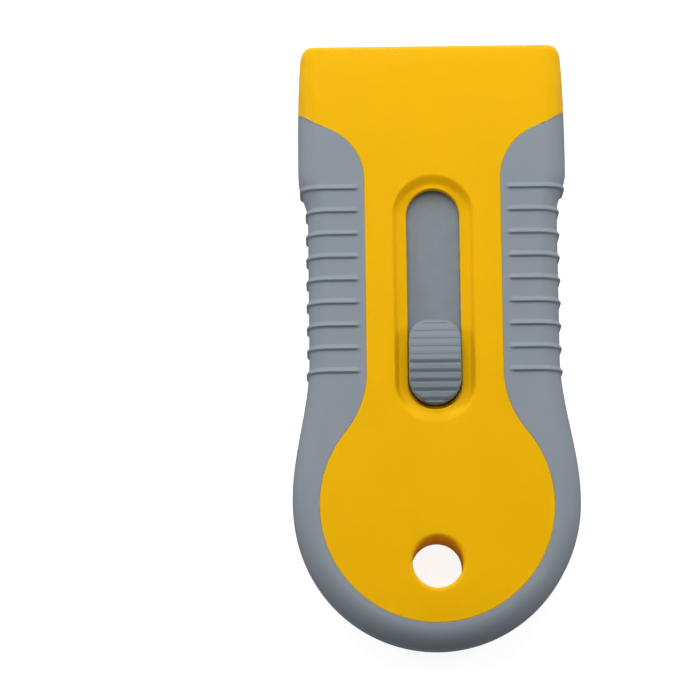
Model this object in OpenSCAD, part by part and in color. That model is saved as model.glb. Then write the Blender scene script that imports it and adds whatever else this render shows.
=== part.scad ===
// Razor blade scraper with a sliding, locking blade holder.
// +Y points to the blade, +Z out of the face with the button, and the rear side lies on Z = 0.
// The origin is under the middle of the body. The blade is drawn back, as it is stored.
// The feature that took the most care is the moulded housing: both halves and both soft grips are lofts
// over one outline, so the grips sit in their recesses and the lock, the slide and the screws fit inside.

/* [Body] */
// Length from the mouth to the heel
body_len = 108.7; // [104:0.1:116]
// Width across the heel, the widest place
heel_w = 51.2; // [49:0.2:56]
// Width of the waist between the ribs
waist_w = 44.7; // [44:0.1:46.5]
// How much wider the shoulder is than the mouth
shoulder_flare = 1.5; // [0.6:0.1:2.4]
// Thickness of the handle
body_t = 14; // [13.6:0.1:15.5]
// Height of the parting line between the two halves
parting_z = 7.6; // [7.4:0.05:8]
// Radius of the rounding along both edges
edge_r = 3.8; // [3.4:0.05:3.95]
// Length of the elliptic heel, from its widest line to its end
heel_len = 26.3; // [25.5:0.1:28]
// Length over which the waist widens to the heel
flare_len = 26; // [22:0.5:28]
// Distance from the mouth to the top of the shoulder step
shoulder_from_mouth = 23.1; // [22.5:0.1:24]
// Length of the shoulder step
shoulder_step = 7.3; // [6.6:0.1:7.8]
// Radius of the mouth's corners, seen from the face
mouth_corner_r = 1.7; // [1.5:0.1:2.7]
// Radius of the rounding along the mouth's edges
mouth_edge_r = 0.8; // [0.4:0.05:0.85]
// How far the face drops towards the mouth
face_drop = 0.8; // [0.3:0.05:0.9]
// Length of that drop
face_drop_len = 23; // [20:0.5:23.5]
// How far the rear side rises towards the mouth
rear_rise = 2.8; // [2:0.1:2.9]
// Length of that rise
rear_rise_len = 37; // [34:0.5:40]
// How far both sides draw in at the heel
heel_drop = 0.8; // [0.3:0.05:1.2]
// Length of that draw
heel_drop_len = 12; // [8:0.5:12.5]
// Wall under the face
face_wall = 2.55; // [2.5:0.05:2.8]
// Wall over the rear side
rear_wall = 3; // [2.6:0.1:3.2]
// Side wall behind the soft grip
side_wall = 2; // [1.6:0.1:2.4]
// Wall on each side of the holder at the mouth
mouth_wall = 3.05; // [2.9:0.05:3.4]
// Depth of the closed lip under the mouth
lip_len = 5; // [4:0.5:8]

/* [Soft grip] */
// Thickness of the soft grip
grip_t = 1.3; // [1:0.05:1.5]
// Distance from the mouth to the front ends of the grip
grip_from_mouth = 14.7; // [14.2:0.1:15.4]
// How much farther forward the grip's front end lies at the sides
grip_lean = 2.5; // [1.5:0.1:2.8]
// Width of the hard panel between the grip's arms
neck_w = 24.4; // [24:0.1:25.5]
// Radius of the sweep that carries the panel out to the full width
sweep_r = 10.2; // [10.15:0.05:10.5]
// Length of that sweep along the body
sweep_len = 10; // [9.6:0.1:10.1]
// Radius of the panel's round end
lobe_r = 20.8; // [20.3:0.1:21.1]
// Distance from the heel to the centre of that round end
lobe_from_heel = 25.3; // [24.9:0.1:26]
// Radius of the hollow between the panel's neck and its round end
lobe_fillet_r = 17; // [14:0.5:20]
// Number of ribs on each side
rib_count = 9; // [6:1:9]
// Distance from one rib to the next
rib_pitch = 4.14; // [3.8:0.02:4.2]
// Distance from the mouth to the first rib
rib_from_mouth = 26.3; // [26:0.1:26.7]
// Width of a rib at its foot
rib_w = 1.15; // [0.9:0.05:1.4]
// Width of a rib's crest
rib_crest_w = 0.45; // [0.3:0.05:0.6]
// Height of a rib
rib_h = 0.42; // [0.3:0.02:0.5]
// Distance from the inner end of a rib to the hard panel, on the face
rib_inset = 1.8; // [1.4:0.1:2.4]

/* [Blade] */
// Length of the cutting edge
blade_w = 39; // [38:0.5:40]
// Depth of the blade from its edge to its back
blade_depth = 18.4; // [17.5:0.1:19.5]
// Thickness of the blade
blade_t = 0.25; // [0.2:0.01:0.4]
// Length of the ground bevel
bevel_len = 1.35; // [0.8:0.05:2]
// Thickness left at the cutting edge
edge_t = 0.03; // [0.02:0.01:0.05]
// How far the blade stands out of its holder
blade_out = 6.6; // [5.5:0.1:7.5]
// Distance from the mouth in to the stored cutting edge
edge_setback = 4.8; // [4:0.1:5.5]
// Diameter of the two locating holes
blade_hole_d = 4; // [3:0.1:5]
// Distance between the locating holes
blade_hole_span = 24; // [16:0.5:26]
// Distance from the blade's back to the line of the holes
blade_hole_from_back = 5.8; // [4.5:0.1:6.6]

/* [Holder] */
// Travel of the blade holder
travel = 22.5; // [20:0.1:23.5]
// Holder's margin beyond each end of the blade
holder_margin = 0.45; // [0.3:0.05:0.8]
// Thickness of the carrier's tray
tray_t = 2.7; // [2.3:0.05:2.8]
// Thickness of the clamp plate
clamp_t = 1.65; // [1.5:0.05:1.8]
// Depth of the wall behind the blade
back_wall = 2.1; // [1.6:0.1:2.1]
// Cut corner at the back of the tray
tray_chamfer = 1.2; // [0.6:0.1:1.8]
// Length of the clamp's sloping nose
nose_len = 3.8; // [3:0.1:4.5]
// How far the nose slopes down
nose_drop = 0.8; // [0.5:0.05:1]
// Width of the recess in the clamp, at its rim
recess_w = 29; // [26:0.5:32]
// Width of the sloping walls of that recess
recess_wall_w = 1.4; // [1:0.1:1.8]
// Depth of that recess
recess_depth = 0.7; // [0.5:0.05:0.8]
// Distance from the recess to the clamp's rear edge
recess_rear = 1.2; // [0.8:0.1:2]
// Depth of the hollow under the tray
tray_hollow = 1.2; // [0.8:0.1:1.3]
// Rim left round that hollow
tray_rim = 2; // [1.5:0.1:3]
// Depth of the locating pegs in the clamp
peg_grip = 1; // [0.6:0.05:1]
// Clearance of the pegs in the blade
peg_gap = 0.15; // [0.1:0.01:0.25]
// Width of the tongue behind the tray
tongue_w = 13.4; // [13.3:0.05:13.6]
// Thickness of the tongue's top plate
tongue_t = 2; // [1.6:0.1:2.4]
// Thickness of the tongue's side rails
rail_t = 1; // [0.8:0.05:1.1]
// Depth of the tongue from its top to its underside
tongue_depth = 6.2; // [5.8:0.1:6.6]
// Thickness of the floor that carries the spring
spring_floor_t = 1.4; // [1.1:0.1:1.6]
// Running gap round the holder
slide_gap = 0.25; // [0.2:0.01:0.3]

/* [Slot and button] */
// Distance from the mouth to the slot
slot_from_mouth = 26.4; // [26:0.1:27]
// Width of the slot
slot_w = 9.5; // [9:0.05:9.7]
// Gap between the stored button and the slot's rear end
slot_end_gap = 0.9; // [0.5:0.05:1.2]
// Gap between the advanced button and the slot's front end
slot_front_gap = 1.4; // [1.1:0.05:1.6]
// Width of the dish's margin round the slot
dish_margin = 2.4; // [1.8:0.1:2.6]
// Width of the dish's sloping wall
dish_wall_w = 1.2; // [0.6:0.05:1.4]
// Depth of the dish
dish_depth = 0.8; // [0.5:0.05:0.85]
// Length of the button
button_len = 15.1; // [14.5:0.1:16]
// Gap on each side of the button in the slot
button_gap = 0.1; // [0.06:0.01:0.15]
// Corner radius at the button's front end
button_corner_r = 3.5; // [2.5:0.1:4]
// How far the button's crown stands out of the face
button_rise = 1.4; // [1.2:0.05:1.8]
// How far its ends lie under its crown
button_crown = 1.2; // [0.8:0.05:1.5]
// Number of grooves across the button
groove_count = 9; // [5:1:10]
// Distance between the grooves
groove_pitch = 1.55; // [1.4:0.05:1.7]
// Radius of a groove
groove_r = 0.34; // [0.2:0.02:0.4]
// How far the button is pressed to free the lock
press_travel = 1; // [0.9:0.01:1.05]
// Number of lock positions
lock_count = 7; // [3:1:7]
// Length of a lock tooth
tooth_len = 1.6; // [1.2:0.05:1.8]
// How far a lock tooth stands out of the button's side
tooth_out = 0.95; // [0.8:0.01:1]
// How far a pressed tooth lies clear of its notch
tooth_clear = 0.3; // [0.2:0.02:0.4]
// Thickness of a lock tooth
tooth_t = 1.2; // [1:0.05:1.4]
// Gap round a tooth in its notch
notch_gap = 0.25; // [0.2:0.01:0.3]
// Distance from the button's rear end to the middle of its teeth
tooth_from_rear = 8.4; // [7.5:0.1:9]
// Clearance of the button in the carrier
button_fit = 0.12; // [0.08:0.01:0.18]

/* [Lock spring] */
// Width of the leaf spring
leaf_w = 5; // [4:0.1:6]
// Length of the leaf spring
leaf_len = 10.5; // [9:0.1:11.5]
// Thickness of the leaf spring
leaf_t = 0.3; // [0.2:0.02:0.4]
// Height of the bow, over the spring's top side
leaf_rise = 2; // [1.8:0.05:2.2]
// Gap at each end of the spring in its seat
leaf_gap = 0.3; // [0.2:0.05:0.5]
// Height of the stops at the spring's ends
leaf_stop_h = 0.8; // [0.5:0.05:0.9]
// Thickness of those stops
leaf_stop_t = 0.9; // [0.7:0.05:1.1]

/* [Hanging hole and screws] */
// Diameter of the hanging hole
hole_d = 9; // [7:0.1:10]
// Distance from the heel to the hole
hole_from_heel = 15.2; // [14.8:0.1:16]
// Radius of the rounded rims of the hole
hole_rim_r = 1; // [0.5:0.05:1.2]
// Wall round the hole inside the housing
hole_wall = 2; // [1.6:0.1:2.6]
// Distance from the mouth to the front pair of screws
screws_from_mouth = 34.9; // [34:0.1:38]
// Distance between the front screws
screw_span = 19; // [18.9:0.05:19.2]
// Distance from the heel to the rear pair of screws
screws_from_heel = 25.4; // [24:0.1:30]
// Distance between the rear screws
rear_screw_span = 31; // [26:0.1:34]
// Shank diameter of a screw
screw_d = 2.1; // [1.9:0.05:2.2]
// Head diameter of a screw
screw_head_d = 4.2; // [3.8:0.05:4.4]
// Head height of a screw
screw_head_h = 1.5; // [1.2:0.05:1.6]
// Length of a screw's shank
screw_len = 9; // [8:0.1:9.4]
// How far the shank bites into the wall of its pilot hole
screw_bite = 0.12; // [0.05:0.01:0.2]
// Clearance round a screw's head and shank in the rear half
screw_gap = 0.2; // [0.12:0.01:0.25]
// Depth of the head's seat under the rear side
screw_sink = 0.5; // [0.3:0.05:0.7]
// Wall round a screw's pilot hole
post_wall = 1.45; // [1.2:0.05:1.5]

/* [Hidden] */

YELLOW = [0.95, 0.72, 0.08];
SOFT_GREY = [0.55, 0.59, 0.63];
HOLDER_GREY = [0.49, 0.53, 0.58];
STEEL = [0.75, 0.75, 0.76];
SCREW_STEEL = [0.6, 0.6, 0.62];

// One overrun serves all cuts
over = 0.3;
// How many sides a drawn circle has
$fn = 60;

// Places along the body
mouth_y = body_len / 2;
heel_y = -body_len / 2;
shoulder_y = mouth_y - shoulder_from_mouth;
waist_y = shoulder_y - shoulder_step;
heel_mid_y = heel_y + heel_len;
flare_y = heel_mid_y + flare_len;
grip_front_y = mouth_y - grip_from_mouth;
lobe_y = heel_y + lobe_from_heel;
first_rib_y = mouth_y - rib_from_mouth;
hole_y = heel_y + hole_from_heel;
front_screw_y = mouth_y - screws_from_mouth;
rear_screw_y = heel_y + screws_from_heel;

// Places of the holder and the button, all with the blade stored
edge_y = mouth_y - edge_setback;
tray_y = edge_y - blade_out;
blade_back_y = edge_y - blade_depth;
tray_back_y = blade_back_y - back_wall;
slot_y = mouth_y - slot_from_mouth;
slot_len = slot_front_gap + travel + button_len + slot_end_gap;
slot_back_y = slot_y - slot_len;
button_back_y = slot_back_y + slot_end_gap;
button_y = button_back_y + button_len;
tooth_y = button_back_y + tooth_from_rear;
hole_line_y = blade_back_y + blade_hole_from_back;

// Heights
ceiling_z = body_t - face_wall;
holder_top_z = ceiling_z - slide_gap;
clamp_z = holder_top_z - clamp_t;
blade_z = clamp_z - blade_t;
tray_z = blade_z - tray_t;
bed_z = tray_z - slide_gap;
tongue_z = holder_top_z - tongue_depth;
spring_seat_z = tongue_z + spring_floor_t;
dish_z = body_t - dish_depth;
crown_z = body_t + button_rise;
button_foot_z = spring_seat_z + leaf_rise;
tooth_top_z = ceiling_z + press_travel - tooth_clear;

// Half widths
heel_half = heel_w / 2;
waist_half = waist_w / 2;
neck_half = neck_w / 2;
tray_w = blade_w + 2 * holder_margin;
pocket_half = tray_w / 2 + slide_gap;
mouth_half = pocket_half + mouth_wall;
shoulder_half = mouth_half + shoulder_flare / 2;
post_r = screw_d / 2 - screw_bite + post_wall;
tongue_half = tongue_w / 2;
button_half = slot_w / 2 - button_gap;
tooth_half = button_half + tooth_out;

// How finely each stretch of the outline is sampled
corner_steps = 5;
front_steps = 3;
sweep_steps = 6;
shoulder_steps = 4;
fillet_steps = 4;
lobe_steps = 4;
heel_steps = 9;

// Samples of the edge rounding and of the grip's inner side, as shares of a section's width
round_shares = [0.03, 0.11, 0.23, 0.37];
inner_shares = [0.04, 0.14, 0.3];
// Samples over the rear grip, of which the first few carry its ribs
rear_shares = [0.03, 0.11, 0.2, 0.27, 0.37, 0.6];
rear_rib_samples = 3;
// Length of a rib's run-out, as a share of its height
runout_share = 1.5;
// The least room between a rib and the panel, as a share of a narrow section's width
narrow_share = 0.3;

// The hollow between neck and lobe touches both
fillet_y = lobe_y + sqrt(pow(lobe_r + lobe_fillet_r, 2) - pow(neck_half + lobe_fillet_r, 2));
lobe_touch_y = lobe_y + (fillet_y - lobe_y) * lobe_r / (lobe_r + lobe_fillet_r);
sweep_y = grip_front_y - sweep_len;

// Eased step from 0 to 1
function ease(t) = t <= 0 ? 0 : t >= 1 ? 1 : (1 - cos(180 * t)) / 2;

// Share of the way from a to b
function way(v, a, b) = (v - a) / (b - a);

// Drop of a quarter circle of radius r, at the distance v into it
function round_off(v, r) = v <= 0 ? 0 : r - sqrt(max(0, r * r - v * v));

// Half width of the body at y, for all but the elliptic heel
function body_half(y) =
    (y >= shoulder_y
        ? shoulder_half + (mouth_half - shoulder_half) * pow(way(y, shoulder_y, mouth_y), 3)
        : y >= flare_y
        ? waist_half + (shoulder_half - waist_half) * ease(way(y, waist_y, shoulder_y))
        : waist_half + (heel_half - waist_half) * ease(way(y, flare_y, heel_mid_y)))
    - round_off(y - (mouth_y - mouth_corner_r), mouth_corner_r);

// Half width of the hard panel at y, down to the heel's widest line
function panel_half(y) =
    y > grip_front_y
        ? neck_half + (panel_half(grip_front_y) - neck_half)
            * (1 - ease(way(y, grip_front_y, mouth_y - mouth_corner_r)))
        : y > sweep_y ? neck_half + sweep_r - sqrt(pow(sweep_r, 2) - pow(y - sweep_y, 2))
        : y > fillet_y ? neck_half
        : y > lobe_touch_y
        ? neck_half + lobe_fillet_r - sqrt(pow(lobe_fillet_r, 2) - pow(fillet_y - y, 2))
        : sqrt(pow(lobe_r, 2) - pow(y - lobe_y, 2));

// Height of a half's outer face over the parting line; side is 1 for the front half and -1 for the rear
function face_height(y, side) =
    (side > 0 ? body_t - parting_z : parting_z)
    - (side > 0 ? face_drop : rear_rise)
        * pow(max(0, 1 - (mouth_y - y) / (side > 0 ? face_drop_len : rear_rise_len)), 2)
    - heel_drop * pow(max(0, 1 - (y - heel_y) / heel_drop_len), 2)
    - round_off(y - (mouth_y - mouth_edge_r), mouth_edge_r);

// Height of a surface that lies t under the rounded outside, at the inset e from the silhouette
function skin_height(e, y, side, t) =
    e < edge_r
        ? face_height(y, side) - edge_r + sqrt(max(0, pow(edge_r - t, 2) - pow(edge_r - e, 2)))
        : face_height(y, side) - t;

// Values in falling order, each once
function falling(v) = len(v) < 2 ? v
    : let (pivot = v[floor(len(v) / 2)])
        concat(falling([for (x = v) if (x > pivot) x]), [pivot], falling([for (x = v) if (x < pivot) x]));

// Places of the side sections, from the grip's front end down to the heel's widest line
side_places = concat(
    [for (i = [0:sweep_steps])
        sweep_y + (grip_front_y - sweep_y) * sin(90 * (1 - i / sweep_steps))],
    [for (i = [0:shoulder_steps]) shoulder_y - shoulder_step * i / shoulder_steps],
    [for (i = [0:fillet_steps]) fillet_y + (lobe_touch_y - fillet_y) * i / fillet_steps],
    [for (i = [1:lobe_steps]) lobe_touch_y + (heel_mid_y - lobe_touch_y) * i / lobe_steps]);

// Places of the ribs' feet and crests
rib_places = [for (i = [0:rib_count - 1], d = [rib_w, rib_crest_w, -rib_crest_w, -rib_w])
    first_rib_y - i * rib_pitch + d / 2];

// Places ahead of the grip: the mouth's corner and the stretch behind it
front_places = concat(
    [for (i = [0:corner_steps]) mouth_y - mouth_corner_r * (1 - cos(90 * i / corner_steps))],
    [for (i = [1:front_steps - 1])
        mouth_y - mouth_corner_r + (grip_front_y - mouth_y + mouth_corner_r) * i / front_steps]);

// How far forward a side section leans on the silhouette, to meet the grip's slanted front end
function lean(y) = y > grip_front_y ? 0 : grip_lean * pow(max(0, way(y, sweep_y, grip_front_y)), 2);

// A section is a pair: its place on the silhouette and its place on the panel's edge
function side_pairs(places) = [for (y = places)
    let (side_y = y + lean(y)) [[body_half(side_y), side_y], [panel_half(y), y]]];

// The lobe's angle where the heel's widest line crosses it
lobe_start = asin((lobe_y - heel_mid_y) / lobe_r);
heel_pairs = [for (i = [1:heel_steps])
    let (a = 90 * i / heel_steps, b = lobe_start + (90 - lobe_start) * i / heel_steps)
        [[heel_half * cos(a), heel_mid_y - heel_len * sin(a)],
            [lobe_r * cos(b), lobe_y - lobe_r * sin(b)]]];

// The whole U: down the right side, round the heel and up the left side
function mirrored(p) = [-p[0], p[1]];
function whole_u(right) = concat(right,
    [for (i = [len(right) - 2:-1:0]) [mirrored(right[i][0]), mirrored(right[i][1])]]);

// The body has no section at the grip's front end, where the recess has its flat end wall
body_places = concat(front_places, [for (y = side_places) if (y < grip_front_y) y]);
body_pairs = whole_u(concat(side_pairs(falling(body_places)), heel_pairs));
grip_pairs = whole_u(concat(side_pairs(falling(concat(side_places, rib_places))), heel_pairs));

// A section's width, and its place at the inset e, pushed out by g
function pair_width(p) = norm(p[1] - p[0]);
function at_inset(p, e) = p[0] + (p[1] - p[0]) * e / pair_width(p);

// Height of the ribs at y, from 0 to 1
function rib_share(y) = max([for (i = [0:rib_count - 1])
    let (d = abs(y - (first_rib_y - i * rib_pitch)))
        max(0, min(1, (rib_w / 2 - d) / (rib_w / 2 - rib_crest_w / 2)))]);

// Ribs are on the sides only, ahead of the heel's widest line
function rib_at(p) = p[0][1] > heel_mid_y ? rib_h * rib_share(p[0][1]) : 0;

// Samples over the face of a section of width w: the inset, and whether it is on a rib
function samples(w, side) =
    let (reach = w - min(rib_inset, w * narrow_share))
    side > 0
        ? concat([for (s = round_shares) [s * w, true]], [[reach - rib_h * runout_share, true], [reach, false]])
        : [for (i = [0:len(rear_shares) - 1]) [rear_shares[i] * w, i < rear_rib_samples]];

// Outer line of a section: up the side, over the rounding and in to the panel's edge, raised by the rib
function outer_line(p, side) =
    let (w = pair_width(p), r = rib_at(p), out = (p[0] - p[1]) / w)
    concat(
        [[each (p[0] + out * r), 0]],
        [[each (p[0] + out * r), face_height(p[0][1], side) - edge_r]],
        [for (s = samples(w, side))
            let (q = at_inset(p, s[0]), tilt = 1 - min(1, s[0] / edge_r), lift = s[1] ? r : 0)
                [each (q + out * lift * tilt), skin_height(s[0], q[1], side, 0) + lift * sqrt(1 - tilt * tilt)]],
        [[each p[1], skin_height(w, p[1][1], side, 0)]]);

// Inner line of a section, from the panel's edge back out and down to the parting line
function inner_line(p, side) =
    let (w = pair_width(p))
    concat(
        [[each p[1], skin_height(w, p[1][1], side, grip_t)]],
        [for (i = [len(inner_shares) - 1:-1:0])
            let (e = grip_t + (w - grip_t) * inner_shares[i], q = at_inset(p, e))
                [each q, skin_height(e, q[1], side, grip_t)]],
        [let (q = at_inset(p, grip_t)) [each q, face_height(q[1], side) - edge_r]]);

// End faces as triangles over a section's n points: a fan round one corner, or a ladder between
// the first a points and the rest, which run back beside them
function fan(hub, n) = [for (k = [1:n - 2]) [hub, (hub + k) % n, (hub + k + 1) % n]];
function rung(j, a, n) = n - 1 - round(j * (n - a - 1) / (a - 1));
function ladder(a, n) = [for (j = [0:a - 2])
    let (here = rung(j, a, n), there = rung(j + 1, a, n))
        each concat([[j, j + 1, here]], here == there ? [] : [[j + 1, there, here]])];

// Closed tube through sections that all have the same number of points, with its two end faces
module loft(sections, ends) {
    n = len(sections[0]);
    last = len(sections) - 1;
    polyhedron(
        points = [for (s = sections) each s],
        faces = concat(
            [for (i = [0:last - 1], k = [0:n - 1])
                let (a = i * n + k, b = i * n + (k + 1) % n) each [[a, b + n, b], [a, a + n, b + n]]],
            ends, [for (t = ends) [for (k = [2:-1:0]) last * n + t[k]]]),
        convexity = 10);
}

// Half of the body as a solid block over the parting plane, with its rounded edge
module half_block(side) {
    lines = [for (p = body_pairs)
        let (w = pair_width(p))
        concat(
            [[each p[0], 0], [each p[0], face_height(p[0][1], side) - edge_r]],
            [for (s = round_shares) let (q = at_inset(p, s * w)) [each q, skin_height(s * w, q[1], side, 0)]],
            [[each p[1], skin_height(w, p[1][1], side, 0)]])];
    k = len(lines[0]);
    last = len(lines) - 1;
    mid = last / 2;
    function strip(at) = concat(
        [for (i = [0:mid - 2]) each
            [[i * k + at, (i + 1) * k + at, (last - i - 1) * k + at],
                [i * k + at, (last - i - 1) * k + at, (last - i) * k + at]]],
        [[(mid - 1) * k + at, mid * k + at, (mid + 1) * k + at]]);
    polyhedron(
        points = [for (l = lines) each l],
        faces = concat(
            [for (i = [0:last - 1], j = [0:k - 2])
                let (a = i * k + j) each [[a, a + k + 1, a + 1], [a, a + k, a + k + 1]]],
            strip(k - 1),
            [for (t = strip(0)) [t[2], t[1], t[0]]],
            [concat([for (j = [0:k - 1]) j], [for (j = [k - 1:-1:0]) last * k + j])]),
        convexity = 10);
}

// The grip of one half, and the recess that it fills
module half_grip(side) {
    outer = [for (p = grip_pairs) outer_line(p, side)];
    inner = [for (p = grip_pairs) concat(inner_line(p, side), [[each at_inset(p, grip_t), 0]])];
    n = len(outer[0]);
    loft([for (i = [0:len(outer) - 1]) concat(outer[i], inner[i])], ladder(n, n + len(inner[0])));
}

module grip_recess(side) {
    top = face_height(0, side) + over;
    sections = [for (p = grip_pairs)
        let (q = at_inset(p, grip_t), out = at_inset(p, -over - rib_h))
        concat([[each out, top], [each p[1], top]], inner_line(p, side), [[each q, -over], [each out, -over]])];
    loft(sections, fan(0, len(sections[0])));
}

// Puts a half made over Z = 0 on the parting plane, face up or face down
module on_parting(side) {
    translate([0, 0, parting_z]) mirror([0, 0, side > 0 ? 0 : 1]) children();
}

// Outline of the hollow inside the housing, up to the back of the holder's pocket
module hollow_outline(inset) {
    places = falling([for (y = side_places) if (y < waist_y - over) y]);
    right = concat(
        [[body_half(waist_y) - inset, tray_back_y]],
        [for (y = places) [body_half(y) - inset, y]],
        [for (i = [1:heel_steps])
            let (a = 90 * i / heel_steps)
                [(heel_half - inset) * cos(a), heel_mid_y - (heel_len - inset) * sin(a)]]);
    polygon(concat(right, [for (i = [len(right) - 2:-1:0]) mirrored(right[i])]));
}

// A stadium that runs from y0 up to y1
module stadium(y0, y1, r) {
    translate([0, y0 + r]) circle(r = r);
    translate([0, y1 - r]) circle(r = r);
    translate([-r, y0 + r]) square([2 * r, y1 - y0 - 2 * r]);
}

// Outline of the button, widened by g: round at the rear, flattened with round corners in front
module button_outline(g) {
    r = button_corner_r + g;
    half = button_half + g;
    y0 = button_back_y + button_half;
    y1 = button_y - button_corner_r;
    translate([0, y0]) circle(r = half);
    translate([-half, y0]) square([2 * half, y1 - y0]);
    for (x = [-1, 1]) translate([x * (half - r), y1]) circle(r = r);
    translate([r - half, y1]) square([2 * (half - r), r]);
}

// A block across the body's middle, from y0 to y1 and z0 to z1
module middle_block(half, y0, y1, z0, z1) {
    translate([-half, y0, z0]) cube([2 * half, y1 - y0, z1 - z0]);
}

module at_screws() {
    for (x = [-1, 1]) {
        translate([x * screw_span / 2, front_screw_y, 0]) children();
        translate([x * rear_screw_span / 2, rear_screw_y, 0]) children();
    }
}

// The dish round the slot: sloping wall, flat floor
module dish() {
    rim = slot_w / 2 + dish_margin;
    floor_r = rim - dish_wall_w;
    y0 = slot_back_y + slot_w / 2;
    y1 = slot_y - slot_w / 2;
    cut_r = rim + dish_wall_w * over / dish_depth;
    for (y = [y0, y1])
        translate([0, y, dish_z]) cylinder(h = dish_depth + over, r1 = floor_r, r2 = cut_r);
    translate([0, y1, dish_z]) rotate([90, 0, 0]) linear_extrude(y1 - y0)
        polygon([[-floor_r, 0], [floor_r, 0], [cut_r, dish_depth + over], [-cut_r, dish_depth + over]]);
}

// The hanging hole with a rounded rim on the face (side 1) or the rear side (side -1)
module hanging_hole(side) {
    rim_z = side > 0 ? body_t : 0;
    translate([0, hole_y, -over]) cylinder(h = body_t + 2 * over, d = hole_d);
    translate([0, hole_y, rim_z]) mirror([0, 0, side > 0 ? 0 : 1]) difference() {
        translate([0, 0, -hole_rim_r]) cylinder(h = hole_rim_r + over, r = hole_d / 2 + hole_rim_r);
        rotate_extrude() translate([hole_d / 2 + hole_rim_r, -hole_rim_r]) circle(r = hole_rim_r);
    }
}

// The lock's notches in the front shell, one pair for each place where the holder stops
module lock_notches() {
    step = travel / (lock_count - 1);
    half = tooth_half + notch_gap;
    for (i = [0:lock_count - 1])
        middle_block(half, tooth_y + i * step - tooth_len / 2 - notch_gap,
            tooth_y + i * step + tooth_len / 2 + notch_gap, ceiling_z - over, tooth_top_z + notch_gap);
}

// Front half of the housing
module front_shell() {
    color(YELLOW) difference() {
        union() {
            difference() {
                on_parting(1) half_block(1);
                on_parting(1) grip_recess(1);
                translate([0, 0, parting_z - over]) linear_extrude(ceiling_z - parting_z + over)
                    hollow_outline(grip_t + side_wall);
                middle_block(pocket_half, tray_back_y - slide_gap, mouth_y + over, parting_z - over, ceiling_z);
            }
            at_screws() translate([0, 0, parting_z])
                cylinder(h = ceiling_z - parting_z + over, r = post_r);
            translate([0, hole_y, parting_z])
                cylinder(h = ceiling_z - parting_z + over, r = hole_d / 2 + hole_wall);
            for (x = [-1, 1])
                translate([x * (tongue_half + slide_gap + rail_t / 2) - rail_t / 2, slot_back_y, parting_z])
                    cube([rail_t, front_screw_y - slot_back_y, ceiling_z - parting_z + over]);
        }
        dish();
        translate([0, 0, parting_z]) linear_extrude(body_t) stadium(slot_back_y, slot_y, slot_w / 2);
        lock_notches();
        hanging_hole(1);
        at_screws() translate([0, 0, parting_z - over])
            cylinder(h = screw_len + screw_sink + screw_head_h - parting_z + 2 * over,
                d = screw_d - 2 * screw_bite);
    }
}

// Rear half of the housing
module rear_shell() {
    rib_in = tongue_half + slide_gap + rail_t;
    difference() {
        color(YELLOW) union() {
            difference() {
                on_parting(-1) half_block(-1);
                on_parting(-1) grip_recess(-1);
                translate([0, 0, rear_wall]) linear_extrude(parting_z - rear_wall + over)
                    hollow_outline(grip_t + side_wall);
                middle_block(pocket_half - rail_t, waist_y - over, mouth_y - lip_len, rear_wall,
                    parting_z + over);
                middle_block(pocket_half, tray_back_y - slide_gap, mouth_y + over, bed_z, parting_z + over);
            }
            for (x = [-1, 1]) {
                translate([x * (rib_in + rail_t / 2) - rail_t / 2, waist_y, rear_wall - over])
                    cube([rail_t, mouth_y - lip_len - waist_y + over, bed_z - rear_wall + over]);
            }
            at_screws() translate([0, 0, rear_wall - over])
                cylinder(h = parting_z - rear_wall + over, r = post_r);
            translate([0, hole_y, rear_wall - over])
                cylinder(h = parting_z - rear_wall + over, r = hole_d / 2 + hole_wall);
        }
        hanging_hole(-1);
        at_screws() {
            translate([0, 0, -over])
                cylinder(h = screw_sink + screw_head_h + over, d = screw_head_d + 2 * screw_gap);
            cylinder(h = parting_z + over, d = screw_d + 2 * screw_gap);
        }
    }
}

// Soft grips
module front_grip() {
    color(SOFT_GREY) on_parting(1) half_grip(1);
}

module rear_grip() {
    color(SOFT_GREY) on_parting(-1) half_grip(-1);
}

// Outline of the tray, with its two rear corners cut off
module tray_outline() {
    half = tray_w / 2;
    polygon([[-half, tray_y], [half, tray_y], [half, tray_back_y + tray_chamfer],
        [half - tray_chamfer, tray_back_y], [tray_chamfer - half, tray_back_y],
        [-half, tray_back_y + tray_chamfer]]);
}

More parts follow.
